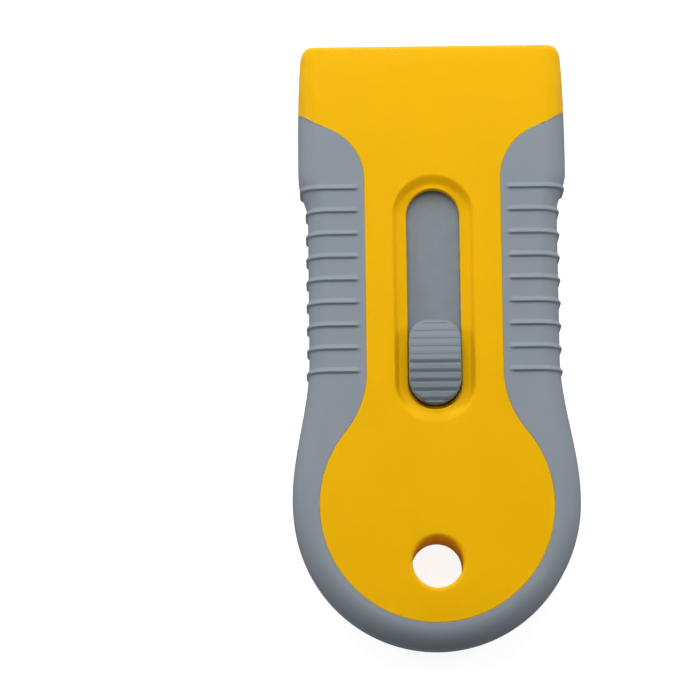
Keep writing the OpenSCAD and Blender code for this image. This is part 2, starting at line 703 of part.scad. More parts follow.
// Carrier: tray for the blade, tongue under the slot and the seat of button and spring
module blade_carrier() {
    peg_r = blade_hole_d / 2 - peg_gap;
    seat_y = button_back_y + button_len / 2;
    stop_y = leaf_len / 2 + leaf_gap;
    seat_front_y = seat_y + stop_y + leaf_stop_t;
    color(HOLDER_GREY) difference() {
        union() {
            translate([0, 0, tray_z]) linear_extrude(tray_t) tray_outline();
            translate([0, 0, tray_z]) linear_extrude(holder_top_z - tray_z) intersection() {
                tray_outline();
                translate([-tray_w / 2, tray_back_y]) square([tray_w, back_wall - slide_gap]);
            }
            for (x = [-1, 1]) translate([x * blade_hole_span / 2, hole_line_y, blade_z - over])
                cylinder(h = over + blade_t + peg_grip, r = peg_r);
            middle_block(tongue_half, button_back_y, tray_back_y + over, tray_z, holder_top_z);
            middle_block(tongue_half, button_back_y, seat_front_y, tongue_z, tray_z + over);
        }
        // Hollow under the tray
        middle_block(tray_w / 2 - tray_rim, tray_back_y + tray_rim, tray_y - tray_rim, tray_z - over,
            tray_z + tray_hollow);
        // Hollow under the tongue's plate, open below ahead of the spring's floor
        middle_block(tongue_half - rail_t, seat_front_y, tray_back_y - rail_t,
            tray_z - over, holder_top_z - tongue_t);
        // Room of the spring, open to the rear
        middle_block(tongue_half - rail_t, button_back_y - over, seat_front_y + over,
            spring_seat_z, holder_top_z - tongue_t);
        // Well of the button, open above and behind the button's round end
        translate([0, 0, spring_seat_z]) linear_extrude(tongue_depth) button_outline(button_fit);
        middle_block(tongue_half - rail_t, button_back_y - over, button_back_y + button_half,
            spring_seat_z, holder_top_z + over);
        middle_block(tongue_half - rail_t, tooth_y - tooth_len / 2 - notch_gap,
            tooth_y + tooth_len / 2 + notch_gap, spring_seat_z, holder_top_z + over);
    }
    color(HOLDER_GREY) for (y = [-1, 1])
        translate([-leaf_w / 2, seat_y + y * (stop_y + leaf_stop_t / 2) - leaf_stop_t / 2,
            spring_seat_z - over])
            cube([leaf_w, leaf_stop_t, leaf_stop_h + over]);
}

// Cover plate over the blade, with its sloping nose, its recess and the sockets of the pegs
module blade_clamp() {
    rim_half = recess_w / 2;
    back_y = blade_back_y;
    top = clamp_t;
    recess_y = tray_y - nose_len;
    recess_back_y = back_y + recess_rear;
    floor_z = clamp_t - recess_depth;
    color(HOLDER_GREY) difference() {
        translate([-tray_w / 2, 0, clamp_z]) rotate([90, 0, 90]) linear_extrude(tray_w)
            polygon([[back_y, 0], [tray_y, 0], [tray_y, top - nose_drop], [recess_y, top], [back_y, top]]);
        // Recess: a wedge across for its two sides, cut short by a wedge for its front and rear walls
        translate([0, 0, clamp_z]) intersection() {
            translate([0, recess_y, 0]) rotate([90, 0, 0]) linear_extrude(recess_y - recess_back_y)
                polygon([[recess_wall_w - rim_half, floor_z], [rim_half - recess_wall_w, floor_z],
                    [rim_half, top], [rim_half, top + over], [-rim_half, top + over], [-rim_half, top]]);
            translate([-rim_half, 0, 0]) rotate([90, 0, 90]) linear_extrude(recess_w)
                polygon([[recess_back_y, floor_z], [recess_y - recess_wall_w, floor_z],
                    [recess_y, top], [recess_y, top + over], [recess_back_y, top + over]]);
        }
        for (x = [-1, 1]) translate([x * blade_hole_span / 2, hole_line_y, clamp_z - over])
            cylinder(h = over + peg_grip, d = blade_hole_d - 2 * peg_gap);
    }
}

// Single-edge blade with a bevel on both sides and two locating holes
module blade() {
    mid = blade_t / 2;
    color(STEEL) difference() {
        translate([-blade_w / 2, 0, blade_z]) rotate([90, 0, 90]) linear_extrude(blade_w)
            polygon([[blade_back_y, 0], [edge_y - bevel_len, 0], [edge_y, mid - edge_t / 2],
                [edge_y, mid + edge_t / 2], [edge_y - bevel_len, blade_t], [blade_back_y, blade_t]]);
        for (x = [-1, 1]) translate([x * blade_hole_span / 2, hole_line_y, blade_z - over])
            cylinder(h = blade_t + 2 * over, d = blade_hole_d);
    }
}

// Thumb button: bowed and grooved on top, with its two lock teeth and its foot on the spring
module thumb_button() {
    half_len = button_len / 2;
    bow_r = (pow(half_len, 2) + pow(button_crown, 2)) / (2 * button_crown);
    mid_y = button_back_y + half_len;
    turn = 2 * asin(groove_pitch / 2 / bow_r);
    color(SOFT_GREY) difference() {
        union() {
            intersection() {
                translate([0, 0, button_foot_z]) linear_extrude(crown_z - button_foot_z + over)
                    button_outline(0);
                translate([-slot_w, mid_y, crown_z - bow_r]) rotate([0, 90, 0])
                    cylinder(h = 2 * slot_w, r = bow_r);
            }
            middle_block(tooth_half, tooth_y - tooth_len / 2, tooth_y + tooth_len / 2,
                tooth_top_z - tooth_t, tooth_top_z);
        }
        for (i = [0:groove_count - 1])
            translate([0, mid_y, crown_z - bow_r]) rotate([(i - (groove_count - 1) / 2) * turn, 0, 0])
                translate([-slot_w, 0, bow_r]) rotate([0, 90, 0]) cylinder(h = 2 * slot_w, r = groove_r);
    }
}

// Bowed leaf spring between the carrier's floor and the button's foot
module lock_spring() {
    half = leaf_len / 2;
    bow_r = (pow(half, 2) + pow(leaf_rise, 2)) / (2 * leaf_rise);
    seat_y = button_back_y + button_len / 2;
    color(STEEL) translate([-leaf_w / 2, seat_y, spring_seat_z]) intersection() {
        translate([0, 0, leaf_rise - bow_r]) rotate([0, 90, 0]) difference() {
            cylinder(h = leaf_w, r = bow_r);
            translate([0, 0, -over]) cylinder(h = leaf_w + 2 * over, r = bow_r - leaf_t);
        }
        translate([0, -half, 0]) cube([leaf_w, leaf_len, leaf_rise + over]);
    }
}

// Self-tapping screws, heads in the rear half
module housing_screws() {
    tip = screw_d / 2;
    slot = screw_d / 3;
    color(SCREW_STEEL) at_screws() difference() {
        union() {
            translate([0, 0, screw_sink]) cylinder(h = screw_head_h, d = screw_head_d);
            translate([0, 0, screw_sink]) cylinder(h = screw_head_h + screw_len - tip, d = screw_d);
            translate([0, 0, screw_sink + screw_head_h + screw_len - tip])
                cylinder(h = tip, d1 = screw_d, d2 = screw_d / 3);
        }
        for (a = [0, 90]) rotate([0, 0, a])
            translate([-screw_d / 2, -slot / 2, screw_sink - over])
                cube([screw_d, slot, screw_head_h / 2 + over]);
    }
}

front_shell();
rear_shell();
front_grip();
rear_grip();
blade_carrier();
blade_clamp();
blade();
thumb_button();
lock_spring();
housing_screws();
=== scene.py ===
"""The looks of a razor blade scraper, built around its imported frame.

Lengths are in millimetres in the frame's own axes, and become metres where a mesh is made.
The housing halves and the soft grips are made anew from the outline that the solids follow, with finer
curves, rounded rims and real ribs. The blade's cover, the thumb button, the leaf spring and the screws are made
anew too. The tray is a copy of its solid with small rounded edges, and the blade keeps its solid.
"""

import math

import bmesh
import bpy
import numpy as np
from mathutils import Matrix, Vector
from mathutils.geometry import delaunay_2d_cdt


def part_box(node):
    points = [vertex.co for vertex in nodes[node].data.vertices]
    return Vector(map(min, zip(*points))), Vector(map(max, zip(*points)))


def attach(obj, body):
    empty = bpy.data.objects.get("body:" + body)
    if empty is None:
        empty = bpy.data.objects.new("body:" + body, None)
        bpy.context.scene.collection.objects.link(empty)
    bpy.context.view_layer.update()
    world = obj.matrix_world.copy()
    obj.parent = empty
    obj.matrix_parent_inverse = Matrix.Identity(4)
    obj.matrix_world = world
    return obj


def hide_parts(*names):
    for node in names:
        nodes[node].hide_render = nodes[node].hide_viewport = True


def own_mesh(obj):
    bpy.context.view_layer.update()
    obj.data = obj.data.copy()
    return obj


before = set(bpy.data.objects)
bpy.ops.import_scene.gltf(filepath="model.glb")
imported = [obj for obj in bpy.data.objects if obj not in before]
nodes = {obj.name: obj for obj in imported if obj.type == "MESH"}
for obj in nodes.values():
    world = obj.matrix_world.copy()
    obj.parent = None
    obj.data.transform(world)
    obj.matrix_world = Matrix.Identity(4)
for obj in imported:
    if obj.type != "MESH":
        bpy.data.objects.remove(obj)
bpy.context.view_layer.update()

MM = 0.001

# Sizes of the housing
MOUTH_Y, HEEL_Y = 54.35, -54.35
BODY_T, PARTING_Z, CEILING_Z = 14.0, 7.6, 11.45
HEEL_HALF, WAIST_HALF, MOUTH_HALF, SHOULDER_HALF = 25.6, 22.35, 23.25, 24.0
SHOULDER_Y, WAIST_Y = 31.25, 23.95
HEEL_LEN, FLARE_LEN = 26.3, 26.0
HEEL_MID_Y = HEEL_Y + HEEL_LEN
FLARE_Y = HEEL_MID_Y + FLARE_LEN
MOUTH_CORNER_W, MOUTH_CORNER_LEN, MOUTH_EDGE_R = 1.3, 3.0, 0.8
FACE_DROP, FACE_DROP_LEN = 0.8, 23.0
REAR_RISE, REAR_RISE_LEN = 2.8, 37.0
HEEL_DROP, HEEL_DROP_LEN = 0.8, 12.0
EDGE_R, PARTING_CHAMFER = 3.8, 0.12
# How much the rounding along the sides shrinks, from which place on and over which length
EDGE_STEPS = ((1.2, 40.0, 11.0), (1.0, 50.5, 3.5))

# Sizes of the soft grip and the panel inside it
GRIP_T, GRIP_RIM = 1.3, 0.12
GRIP_FRONT_Y, GRIP_LEAN = 39.65, 2.5
NECK_HALF, SWEEP_R, SWEEP_LEN = 12.2, 10.2, 10.0
LOBE_R, LOBE_Y, FILLET_R = 20.8, -29.05, 17.0
SWEEP_Y = GRIP_FRONT_Y - SWEEP_LEN
FILLET_Y = LOBE_Y + math.sqrt((LOBE_R + FILLET_R) ** 2 - (NECK_HALF + FILLET_R) ** 2)
TOUCH_Y = LOBE_Y + (FILLET_Y - LOBE_Y) * LOBE_R / (LOBE_R + FILLET_R)
RIB_COUNT, RIB_PITCH, RIB_FIRST_Y = 9, 4.14, 28.05
RIB_UPPER, RIB_LOWER, RIB_H = 0.85, 0.42, 0.42
RIB_INSET, REAR_RIB_END = 1.8, 1.7
# The mark of points where no rib rises
NO_RIB = 9.0
# Places under the grip, as shares of the way from its side wall in to the panel
UNDER_SHARES = (1, 0.8, 0.6, 0.4, 0.28, 0.18, 0.1, 0.04)
# The recess's flare at the panel's rim: how far past it, and how far under the face
RIM_FLARE = ((0.12, 0.01), (0.04, 0.04), (0.0, 0.12))
# How far the recess's cutter reaches out of the side, and over the face
CUT_OUT, CUT_UP = 1.5, 12

# Sizes of the slot, the dish and the hanging hole
SLOT_HALF, SLOT_Y, SLOT_BACK_Y, SLOT_RIM = 4.75, 27.95, -11.95, 0.3
DISH_MARGIN, DISH_SIDE_WALL, DISH_END_WALL = 2.5, 0.9, 1.8
DISH_SIDE_SLOPE, DISH_END_SLOPE = 0.65, 0.1
DISH_STEP, DISH_REAR_CUT = 0.78, 0.85
SLOT_LIP, SLOT_LIP_W = 0.1, 0.8
LEDGE_W, LEDGE_ROOT, LEDGE_LIFT, LEDGE_Z = 0.7, 0.3, 0.05, 11.65
HOLE_Y, HOLE_R, HOLE_RIM = -39.15, 4.5, 0.75


def ease(t):
    return (1 - np.cos(np.pi * np.clip(t, 0, 1))) / 2


def round_off(v, r):
    """Drop of a quarter circle of radius r, at the distance v into it."""
    return r - np.sqrt(np.maximum(0, r * r - np.clip(v, 0, r) ** 2))


def body_half(y):
    """Half width of the body, for all but the elliptic heel."""
    y = np.asarray(y, float)
    front = SHOULDER_HALF + (MOUTH_HALF - SHOULDER_HALF) * ((y - SHOULDER_Y) / (MOUTH_Y - SHOULDER_Y)) ** 3
    step = WAIST_HALF + (SHOULDER_HALF - WAIST_HALF) * ease((y - WAIST_Y) / (SHOULDER_Y - WAIST_Y))
    flare = WAIST_HALF + (HEEL_HALF - WAIST_HALF) * ease((y - FLARE_Y) / (HEEL_MID_Y - FLARE_Y))
    half = np.where(y >= SHOULDER_Y, front, np.where(y >= FLARE_Y, step, flare))
    into_corner = np.clip((y - MOUTH_Y) / MOUTH_CORNER_LEN + 1, 0, 1)
    return half - MOUTH_CORNER_W * (1 - np.sqrt(1 - into_corner**2))


def panel_half(y):
    """Half width of the hard panel, from the grip's front end down to the heel's widest line."""
    y = np.asarray(y, float)
    sweep = NECK_HALF + SWEEP_R - np.sqrt(np.maximum(0, SWEEP_R**2 - (y - SWEEP_Y) ** 2))
    hollow = NECK_HALF + FILLET_R - np.sqrt(np.maximum(0, FILLET_R**2 - (FILLET_Y - y) ** 2))
    lobe = np.sqrt(np.maximum(0, LOBE_R**2 - (y - LOBE_Y) ** 2))
    return np.where(y > SWEEP_Y, sweep, np.where(y > FILLET_Y, NECK_HALF, np.where(y > TOUCH_Y, hollow, lobe)))


def face_height(y, side):
    """Height of a half's outer face over the parting plane."""
    y = np.asarray(y, float)
    top = BODY_T - PARTING_Z if side > 0 else PARTING_Z
    drop, drop_len = (FACE_DROP, FACE_DROP_LEN) if side > 0 else (REAR_RISE, REAR_RISE_LEN)
    return (
        top
        - drop * np.maximum(0, 1 - (MOUTH_Y - y) / drop_len) ** 2
        - HEEL_DROP * np.maximum(0, 1 - (y - HEEL_Y) / HEEL_DROP_LEN) ** 2
        - round_off(y - (MOUTH_Y - MOUTH_EDGE_R), MOUTH_EDGE_R)
    )


def edge_radius(y):
    """Radius of the rounding along the sides, which gets tighter ahead of the grip and again at the mouth."""
    r = EDGE_R
    for shrink, start, length in EDGE_STEPS:
        r = r - shrink * ease((np.asarray(y, float) - start) / length)
    return r


def skin_height(e, y, side, t):
    """Height of a surface that lies t under the rounded outside, at the inset e from the silhouette."""
    r = edge_radius(y)
    arc = face_height(y, side) - r + np.sqrt(np.maximum(0, (r - t) ** 2 - (r - e) ** 2))
    return np.where(e < r, arc, face_height(y, side) - t)


def inset_at(x, y):
    """How far a point lies inside the silhouette."""
    x, y = np.abs(x), np.asarray(y, float)
    dy = y - HEEL_MID_Y
    reach = np.hypot(x, dy)
    share = np.hypot(x / HEEL_HALF, dy / HEEL_LEN)
    heel = (1 - share) * np.where(share > 1e-9, reach / np.maximum(share, 1e-9), HEEL_HALF)
    return np.maximum(0, np.where(y >= HEEL_MID_Y, body_half(y) - x, heel))


def slot_distance(x, y):
    """Distance outside the slot."""
    return np.hypot(x, y - np.clip(y, SLOT_BACK_Y + SLOT_HALF, SLOT_Y - SLOT_HALF)) - SLOT_HALF


def hole_distance(x, y):
    """Distance outside the hanging hole."""
    return np.hypot(x, y - HOLE_Y) - HOLE_R


def face_z(x, y):
    """Height of the front face, with its dish, the slot's rim and the hole's rim."""
    z = PARTING_Z + skin_height(inset_at(x, y), y, 1, 0)
    d = slot_distance(x, y)
    past_end = np.abs(y - np.clip(y, SLOT_BACK_Y + SLOT_HALF, SLOT_Y - SLOT_HALF))
    end_share = (past_end / np.maximum(np.hypot(x, past_end), 1e-6)) ** 2
    wall_w = DISH_SIDE_WALL + (DISH_END_WALL - DISH_SIDE_WALL) * end_share
    rise = np.clip((d - DISH_MARGIN) / wall_w + 1, 0, 1)
    rise = (rise + rise * rise * (3 - 2 * rise)) / 2
    step = DISH_STEP * (1 - DISH_REAR_CUT * np.where(y < SLOT_BACK_Y + SLOT_HALF, end_share, 0))
    slope = DISH_SIDE_SLOPE + (DISH_END_SLOPE - DISH_SIDE_SLOPE) * end_share
    z -= step * (1 - rise) + slope * np.clip(1 - d / DISH_MARGIN, 0, 1)
    z += SLOT_LIP * np.clip(1 - d / SLOT_LIP_W, 0, 1) ** 2
    z -= round_off(SLOT_RIM - d, SLOT_RIM)
    return z - round_off(HOLE_RIM - hole_distance(x, y), HOLE_RIM)


def rear_z(x, y):
    """Height of the rear face under the parting plane, with the hole's rim."""
    return skin_height(inset_at(x, y), y, -1, 0) - round_off(HOLE_RIM - hole_distance(x, y), HOLE_RIM)


def circle(x, y, r, n):
    return [(x + r * math.cos(2 * math.pi * i / n), y + r * math.sin(2 * math.pi * i / n)) for i in range(n)]


def rectangle(x0, x1, y0, y1):
    return [(x0, y0), (x1, y0), (x1, y1), (x0, y1)]


def stadium(y0, y1, r, n=40):
    """Outline of a stadium, anticlockwise, with n steps along each side and round each end."""
    run = [y0 + r + (y1 - y0 - 2 * r) * i / n for i in range(1, n)]
    turns = [math.pi * i / n for i in range(n + 1)]
    top = [(r * math.cos(a), y1 - r + r * math.sin(a)) for a in turns]
    low = [(-r * math.cos(a), y0 + r - r * math.sin(a)) for a in turns]
    return [(r, y) for y in run] + top + [(-r, y) for y in reversed(run)] + low


def spread(a, b, step):
    """Values from a to b, about step apart, with a and without b."""
    n = max(1, round(abs(b - a) / step))
    return [a + (b - a) * i / n for i in range(n)]


# Places along one side, from the mouth's corner down to the heel's widest line
CORNER_YS = [MOUTH_Y - MOUTH_CORNER_LEN * (1 - math.cos(math.pi / 2 * i / 16)) for i in range(16)]
SIDE_YS = (
    CORNER_YS
    + spread(MOUTH_Y - MOUTH_CORNER_LEN, GRIP_FRONT_Y, 0.8)
    + [SWEEP_Y + SWEEP_LEN * math.cos(math.pi / 2 * i / 30) for i in range(30)]
    + spread(SWEEP_Y, WAIST_Y - 1, 0.3)
    + spread(WAIST_Y - 1, HEEL_MID_Y, 0.8)
)
HEEL_STEPS, MOUTH_STEPS = 56, 44
RINGS = [0.04, 0.15, 0.35, 0.65, 1.05, 1.55, 2.15, 2.9, 3.8]


def heel_arc(e, steps, first=0):
    """The right half of the heel's outline, drawn in by e."""
    turns = (math.pi / 2 * i / steps for i in range(first, steps + 1))
    return [((HEEL_HALF - e) * math.cos(a), HEEL_MID_Y - (HEEL_LEN - e) * math.sin(a)) for a in turns]


def body_ring(e):
    """The right half of the body's outline, drawn in by e, from the mouth's corner to the heel's end."""
    return [(float(body_half(y)) - e, y) for y in SIDE_YS] + heel_arc(e, HEEL_STEPS)


def mirrored(right):
    """A whole outline, anticlockwise, from its right half that starts at the front and ends on the middle line."""
    return [(-x, y) for x, y in right] + [(x, y) for x, y in reversed(right[:-1])]


def closed_outline(right):
    """A whole outline as mirrored gives it, with points along its front edge."""
    loop, n = mirrored(right), MOUTH_STEPS
    (x0, y0), (x1, y1) = loop[-1], loop[0]
    return loop + [(x0 + (x1 - x0) * i / n, y0 + (y1 - y0) * i / n) for i in range(1, n)]


def inside(points, loop):
    """Which points lie inside a closed outline."""
    p, a = np.asarray(points, float), np.asarray(loop, float)
    b = np.roll(a, -1, axis=0)
    hit = np.zeros(len(p), bool)
    for (x0, y0), (x1, y1) in zip(a, b):
        if y0 == y1:
            continue
        across = (y0 > p[:, 1]) != (y1 > p[:, 1])
        hit ^= across & (p[:, 0] < (x1 - x0) * (p[:, 1] - y0) / (y1 - y0) + x0)
    return hit


def between(points, loops):
    """Which points lie inside the first outline and outside the others."""
    keep = inside(points, loops[0])
    for hole in loops[1:]:
        keep &= ~inside(points, hole)
    return keep


def in_scene(name, data):
    """A new object in the scene."""
    obj = bpy.data.objects.new(name, data)
    bpy.context.scene.collection.objects.link(obj)
    return obj


def mesh_object(name, points, faces):
    """A new object from points in millimetres."""
    mesh = bpy.data.meshes.new(name)
    mesh.from_pydata((np.asarray(points, float) * MM).tolist(), [], [tuple(map(int, f)) for f in faces])
    mesh.update()
    return in_scene(name, mesh)


def shade(obj, angle):
    """Smooth shading, with the edges over an angle, in degrees, left sharp."""
    mesh = obj.data
    mesh.polygons.foreach_set("use_smooth", [True] * len(mesh.polygons))
    mesh.set_sharp_from_angle(angle=math.radians(angle))


def edited(obj, change):
    """Runs a change on an open copy of obj's mesh, and puts it back."""
    work = bmesh.new()
    work.from_mesh(obj.data)
    change(work)
    work.to_mesh(obj.data)
    work.free()
    return obj


def drawn_in(loop, d):
    """An anticlockwise outline, moved inwards by d."""
    p = np.asarray(loop, float)
    along = np.roll(p, -1, axis=0) - np.roll(p, 1, axis=0)
    along /= np.linalg.norm(along, axis=1)[:, None]
    return [tuple(q) for q in p + d * np.column_stack([-along[:, 1], along[:, 0]])]


def meshed(loops, loose):
    """Triangles between outlines and through loose points: their points, the triangles and each outline's places."""
    points, edges = [], []
    for loop in loops:
        first = len(points)
        points += loop
        edges += [(first + i, first + (i + 1) % len(loop)) for i in range(len(loop))]
    loose = np.asarray(loose, float).reshape(-1, 2)
    if len(loose):
        points += [tuple(p) for p in loose[between(loose, loops)]]
    verts, _, tris, origins, *_ = delaunay_2d_cdt([Vector(p) for p in points], edges, [], 0, 1e-5, True)
    plan = np.array([(v.x, v.y) for v in verts])
    tris = np.array([t for t in tris if len(t) == 3], int)
    tris = tris[between(plan[tris].mean(axis=1), loops)]
    a, b, c = plan[tris[:, 0]], plan[tris[:, 1]], plan[tris[:, 2]]
    turn = (b - a)[:, 0] * (c - a)[:, 1] - (b - a)[:, 1] * (c - a)[:, 0]
    tris[turn < 0] = tris[turn < 0][:, ::-1]
    place = {source: i for i, group in enumerate(origins) for source in group}
    order, first = [], 0
    for loop in loops:
        order.append([place[first + i] for i in range(len(loop))])
        first += len(loop)
    return plan, tris, order


def plate(name, outline, holes, loose, top, bottom, chamfer=0):
    """A solid with the given outline and holes, whose top is a height over its plan and whose bottom is flat.

    Outline and holes run anticlockwise. loose are points inside the plan that the top's mesh also passes through.
    """
    loops = [outline] + [hole[::-1] for hole in holes]
    plan, tris, order = meshed(loops, loose)
    low_plan, low_tris, low_order = meshed([drawn_in(outline, chamfer) if chamfer else outline] + loops[1:], [])
    rim = np.array(outline)
    count, rims = len(plan), len(outline) if chamfer else 0
    points = [np.column_stack([plan, top(plan[:, 0], plan[:, 1])])]
    if chamfer:
        points.append(np.column_stack([rim, np.full(rims, bottom + chamfer)]))
    points.append(np.column_stack([low_plan, np.full(len(low_plan), bottom)]))
    faces = [tuple(t) for t in tris] + [tuple(t[::-1] + count + rims) for t in low_tris]
    for k, (high, low) in enumerate(zip(order, low_order)):
        low = [i + count + rims for i in low]
        rings = [high, range(count, count + rims), low] if chamfer and k == 0 else [high, low]
        for upper, under in zip(rings, rings[1:]):
            n = len(upper)
            for i in range(n):
                j = (i + 1) % n
                faces.append((upper[i], under[i], under[j], upper[j]))
    obj = mesh_object(name, np.vstack(points), faces)

    def drop_loose(work):
        bmesh.ops.delete(work, geom=[v for v in work.verts if not v.link_faces], context="VERTS")

    return edited(obj, drop_loose)


def prism(name, outline, z0, z1, holes=()):
    return plate(name, outline, holes, [], lambda x, y: np.full(len(x), z1), z0)


def block(name, x0, x1, y0, y1, z0, z1):
    return prism(name, rectangle(x0, x1, y0, y1), z0, z1)


def joined(first, *others):
    """Several separate pieces as one object."""

    def take_in(work):
        for obj in others:
            work.from_mesh(obj.data)
            bpy.data.objects.remove(obj)

    return edited(first, take_in)


def applied(obj):
    """Keeps the result of obj's modifier as its own mesh, and removes the modifier."""
    bpy.context.view_layer.update()
    made = bpy.data.meshes.new_from_object(obj.evaluated_get(bpy.context.evaluated_depsgraph_get()))
    obj.modifiers.clear()
    old, obj.data = obj.data, made
    bpy.data.meshes.remove(old)
    made.name = obj.name
    return obj


def cut(obj, *tools, how="DIFFERENCE"):
    """Takes the tools away from obj, or adds them to it, and removes them."""
    for tool in tools:
        step = obj.modifiers.new("cut", "BOOLEAN")
        step.operation, step.solver, step.object = how, "MANIFOLD", tool
        applied(obj)
        bpy.data.objects.remove(tool)
    return obj


def sections(ys_extra=()):
    """Pairs of a place on the silhouette and a place on the panel's edge, all round the U."""
    ys = sorted({round(y, 5) for y in list(ys_extra) + [y for y in SIDE_YS if y < GRIP_FRONT_Y] + [GRIP_FRONT_Y]})
    right = []
    for y in reversed([y for y in ys if y <= GRIP_FRONT_Y]):
        side_y = y + GRIP_LEAN * max(0, (y - SWEEP_Y) / SWEEP_LEN) ** 2
        right.append(((float(body_half(side_y)), side_y), (float(panel_half(y)), y)))
    start = math.asin((LOBE_Y - HEEL_MID_Y) / LOBE_R)
    for i in range(1, HEEL_STEPS + 1):
        a, b = math.pi / 2 * i / HEEL_STEPS, start + (math.pi / 2 - start) * i / HEEL_STEPS
        right.append(
            (
                (HEEL_HALF * math.cos(a), HEEL_MID_Y - HEEL_LEN * math.sin(a)),
                (LOBE_R * math.cos(b), LOBE_Y - LOBE_R * math.sin(b)),
            )
        )
    left = [((-p[0], p[1]), (-q[0], q[1])) for p, q in right[-2::-1]]
    return np.array(right + left)


def facing_out(obj):
    """Turns all faces of a closed mesh outwards."""
    return edited(obj, lambda work: bmesh.ops.recalc_face_normals(work, faces=work.faces))


def loft(name, rows):
    """A closed tube through rows of points, with an end face at both ends."""
    rows = np.asarray(rows, float)
    m, n = rows.shape[:2]
    faces = []
    for i in range(m - 1):
        for k in range(n):
            a, b = i * n + k, i * n + (k + 1) % n
            faces.append((a, b, b + n, a + n))
    faces += [tuple(range(n))[::-1], tuple((m - 1) * n + k for k in range(n))]
    return facing_out(mesh_object(name, rows.reshape(-1, 3), faces))


def noted(obj, inner, out):
    """Notes on each point how far it lies past a rib's end, in metres, and which way a rib rises there."""
    mesh = obj.data
    mesh.attributes.new("inner", "FLOAT", "POINT").data.foreach_set("value", np.asarray(inner, np.float32).ravel())
    mesh.attributes.new("out", "FLOAT_VECTOR", "POINT").data.foreach_set("vector", np.asarray(out, np.float32).ravel())
    return obj


def strips(pairs):
    """The outer and inner end of each section, its width, its direction, and a zero for each."""
    p, q = pairs[:, 0], pairs[:, 1]
    width = np.linalg.norm(q - p, axis=1)
    return p, q, width, (q - p) / width[:, None], np.zeros(len(pairs))


def grip_rows(pairs, side):
    """Points of the grip's sections, how far each lies past the ribs' inner ends, and which way the ribs rise.

    Round the section they run up the side, over the edge, in to the panel and back underneath.
    """
    p, q, width, along, zero = strips(pairs)
    rows, inner, out = [], [], []

    def add(e, z, mark, a=0.0):
        xy = p + along * np.asarray(e)[:, None]
        rows.append(np.column_stack([xy, PARTING_Z + side * z]))
        inner.append(mark)
        out.append(np.column_stack([-along * math.cos(a), np.full(len(p), side * math.sin(a))]))

    def skin(e, t=0):
        return skin_height(e, p[:, 1] + along[:, 1] * e, side, t)

    end = width - RIB_INSET if side > 0 else np.full(len(pairs), REAR_RIB_END)
    side_top = face_height(p[:, 1], side) - EDGE_R
    add(zero + GRIP_RIM, zero, -end)
    for s in np.linspace(0, 1, 9):
        add(zero, GRIP_RIM + (side_top - GRIP_RIM) * s, -end)
    arc = np.minimum(EDGE_R, 0.72 * width)
    for a in np.linspace(0, math.pi / 2, 17)[1:]:
        e = arc * (1 - math.cos(a))
        add(e, skin(e), e - end, a)
    flat = width - GRIP_RIM
    for s in np.linspace(0, 1, 25)[1:]:
        e = arc + (flat - arc) * s
        add(e, skin(e), e - end, math.pi / 2)
    for a in np.radians((30, 60, 90)):
        e = flat + GRIP_RIM * math.sin(a)
        add(e, skin(e) - GRIP_RIM * (1 - math.cos(a)), zero + NO_RIB)
    for s in UNDER_SHARES:
        e = GRIP_T + (width - GRIP_T) * s
        add(e, skin(e, GRIP_T), zero + NO_RIB)
    add(zero + GRIP_T, side_top, zero + NO_RIB)
    add(zero + GRIP_T, zero, zero + NO_RIB)
    return np.stack(rows, axis=1), np.stack(inner, axis=1) * MM, np.stack(out, axis=1)


def recess_rows(pairs, side):
    """Points of the cutter that makes room for the grip, with a small flare for the panel's rim."""
    p, q, width, along, zero = strips(pairs)
    rows = []

    def add(e, z):
        xy = p + along * np.asarray(e)[:, None]
        rows.append(np.column_stack([xy, PARTING_Z + side * z]))

    rim = skin_height(width, q[:, 1], side, 0)
    add(zero - CUT_OUT, zero + CUT_UP)
    add(width + RIM_FLARE[0][0], zero + CUT_UP)
    for past, under in RIM_FLARE:
        add(width + past, rim - under)
    for s in UNDER_SHARES:
        e = GRIP_T + (width - GRIP_T) * s
        add(e, skin_height(e, p[:, 1] + along[:, 1] * e, side, GRIP_T))
    add(zero + GRIP_T, face_height(p[:, 1], side) - EDGE_R)
    add(zero + GRIP_T, zero - 1)
    add(zero - CUT_OUT, zero - 1)
    return np.stack(rows, axis=1)


def feed(tree, slot, value):
    """Gives an input a fixed value, or links it to another node's output."""
    if isinstance(value, bpy.types.NodeSocket):
        tree.links.new(value, slot)
    else:
        slot.default_value = value


def added(tree, kind, inputs=(), **settings):
    """A new node with its settings and its inputs, which are given in order or by name."""
    node = tree.nodes.new(kind)
    for key, value in settings.items():
        setattr(node, key, value)
    for key, value in inputs.items() if isinstance(inputs, dict) else enumerate(inputs):
        feed(tree, node.inputs[key], value)
    return node


def calc(tree, op, *inputs, clamp=False):
    """The output of a new math node."""
    return added(tree, "ShaderNodeMath", inputs, operation=op, use_clamp=clamp).outputs[0]


def mapped(tree, value, low, high, to_low=0.0, to_high=1.0):
    """A value spread from one range over another, and kept inside it."""
    ends = {"Value": value, "From Min": low, "From Max": high, "To Min": to_low, "To Max": to_high}
    return added(tree, "ShaderNodeMapRange", ends).outputs[0]


def mixed(tree, share, a, b):
    """A mix of two colours."""
    return added(tree, "ShaderNodeMix", {"Factor": share, "A": a, "B": b}, data_type="RGBA").outputs["Result"]


def new_group(name, kind, inputs, outputs):
    """A new node group, with what it is given and the slots of what it gives back."""
    tree = bpy.data.node_groups.new(name, kind)
    for key, socket_kind, value in inputs:
        socket = tree.interface.new_socket(key, in_out="INPUT", socket_type="NodeSocket" + socket_kind)
        if value is not None:
            socket.default_value = value
    for key, socket_kind in outputs:
        tree.interface.new_socket(key, in_out="OUTPUT", socket_type="NodeSocket" + socket_kind)
    return tree, tree.nodes.new("NodeGroupInput").outputs, tree.nodes.new("NodeGroupOutput").inputs


